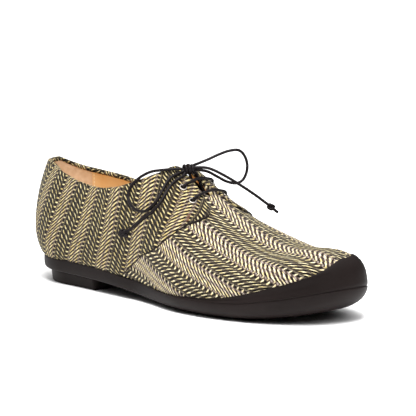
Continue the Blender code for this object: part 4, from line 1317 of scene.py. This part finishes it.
for name, loop, end, tip in (("outer", LOOP_OUTER, END_OUTER, TIP_OUTER),
                             ("inner", LOOP_INNER, END_INNER, TIP_INNER)):
    hang("loop", name, loop, "object")
    towards = (in_route(tip) - in_route(end[-1])).normalized()
    middle = in_route(tip) - towards * TIP_BACK[name]
    turned = towards.to_track_quat("X", "Z")
    skin = Skin()
    wide = TIP_KNOT_WIDE[name]
    trefoil = [middle + turned @ Vector((math.sin(3 * a) * TIP_KNOT_LONG[name],
                                         (math.cos(a) + 2 * math.cos(2 * a)) * wide,
                                         (math.sin(a) - 2 * math.sin(2 * a)) * wide))
               for a in steps(0.0, 2.0 * math.pi, 60)]
    cord_tube(skin, trefoil, LACE_RADIUS * TIP_TIGHT, closed=True)
    cord_tube(skin, [in_route(end[-1]).lerp(middle, share) for share in steps(0.0, 0.8, 4)], LACE_RADIUS)
    cord_tube(skin, [middle + towards * length + Vector((0.0, 0.0, TIP_SAG)) * length
                     for length in steps(1.0, TIP_TAIL[name], 5)], LACE_RADIUS)
    tip_knot = skin.make(f"lace_tip_{name}_cord", "lace_cord", lace_cord)
    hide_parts(f"lace_tip_{name}")
    hang("end", name, end, "knot", with_pieces=[tip_knot])

# Studio. A white paper floor under a white sky, three soft lights and a long lens. One light falls on the
# paper alone, to tighten the shadow. The camera stands at the front of the outer side, a little above.
CAMERA_AROUND = math.radians(46.0)
CAMERA_ABOVE = math.radians(8.7)
CAMERA_AWAY = 2000.0
CAMERA_LENS = 276.9
AIM_STATION = 130.0
AIM_HEIGHT = 35.0
AIM_RIGHT = 7.2
AIM_UP = 22.5
bpy.ops.mesh.primitive_plane_add(size=12.0)
floor = bpy.context.object
floor.name = "studio_floor"
# Uncoated white paper: flat and even, with a faint fibre
floor.data.materials.append(mottled("white_paper", 10.0 / 3.0, 2.0, "#F6F6F6", "#FAFAFA", Roughness=0.9,
                                    Specular_IOR_Level=0.1))

world = bpy.data.worlds.new("studio")
world.use_nodes = True
sky = world.node_tree
heading = add(sky, "SeparateXYZ", {0: add(sky, "TexCoord").outputs["Generated"]})
glow = add(sky, "MapRange", {0: heading.outputs[2], 1: 0.3, 2: 1.0, 3: 0.02, 4: 2.0},
           interpolation_type="SMOOTHSTEP")
backdrop = sky.nodes["Background"]
backdrop.inputs["Color"].default_value = (1.0, 1.0, 1.0, 1.0)
sky.links.new(glow.outputs[0], backdrop.inputs["Strength"])
bpy.context.scene.world = world
bpy.context.scene.view_settings.view_transform = "Standard"

for name, place, size, watts in (
    ("light_above", (0.35, -0.35, 1.35), 0.8, 23.0),
    ("light_front", (1.1, -0.5, 0.9), 0.6, 3.0),
    ("light_paper", (0.75, -0.72, 1.35), 0.5, 20.0),
):
    lamp = bpy.data.lights.new(name, "AREA")
    lamp.size = size
    lamp.energy = watts
    holder = bpy.data.objects.new(name, lamp)
    holder.location = place
    holder.rotation_euler = (Vector((0.0, 0.0, 0.03)) - Vector(place)).to_track_quat("-Z", "Y").to_euler()
    bpy.context.scene.collection.objects.link(holder)
    if name == "light_paper":
        paper_only = bpy.data.collections.new("paper_only")
        paper_only.objects.link(floor)
        holder.light_linking.receiver_collection = paper_only

right = Vector((math.cos(CAMERA_AROUND), math.sin(CAMERA_AROUND), 0.0))
level = Vector((math.sin(CAMERA_AROUND), -math.cos(CAMERA_AROUND), 0.0))
back = level * math.cos(CAMERA_ABOVE) + Vector((0.0, 0.0, math.sin(CAMERA_ABOVE)))
up = back.cross(right)
aim = Vector((AIM_STATION, 0.0, AIM_HEIGHT)) + right * AIM_RIGHT + up * AIM_UP
camera_data = bpy.data.cameras.new("camera")
camera_data.lens = CAMERA_LENS
camera_data.sensor_width = 36.0
camera = bpy.data.objects.new("camera", camera_data)
camera.location = in_frame(aim + back * CAMERA_AWAY)
camera.rotation_euler = back.to_track_quat("Z", "Y").to_euler()
bpy.context.scene.collection.objects.link(camera)
bpy.context.scene.camera = camera
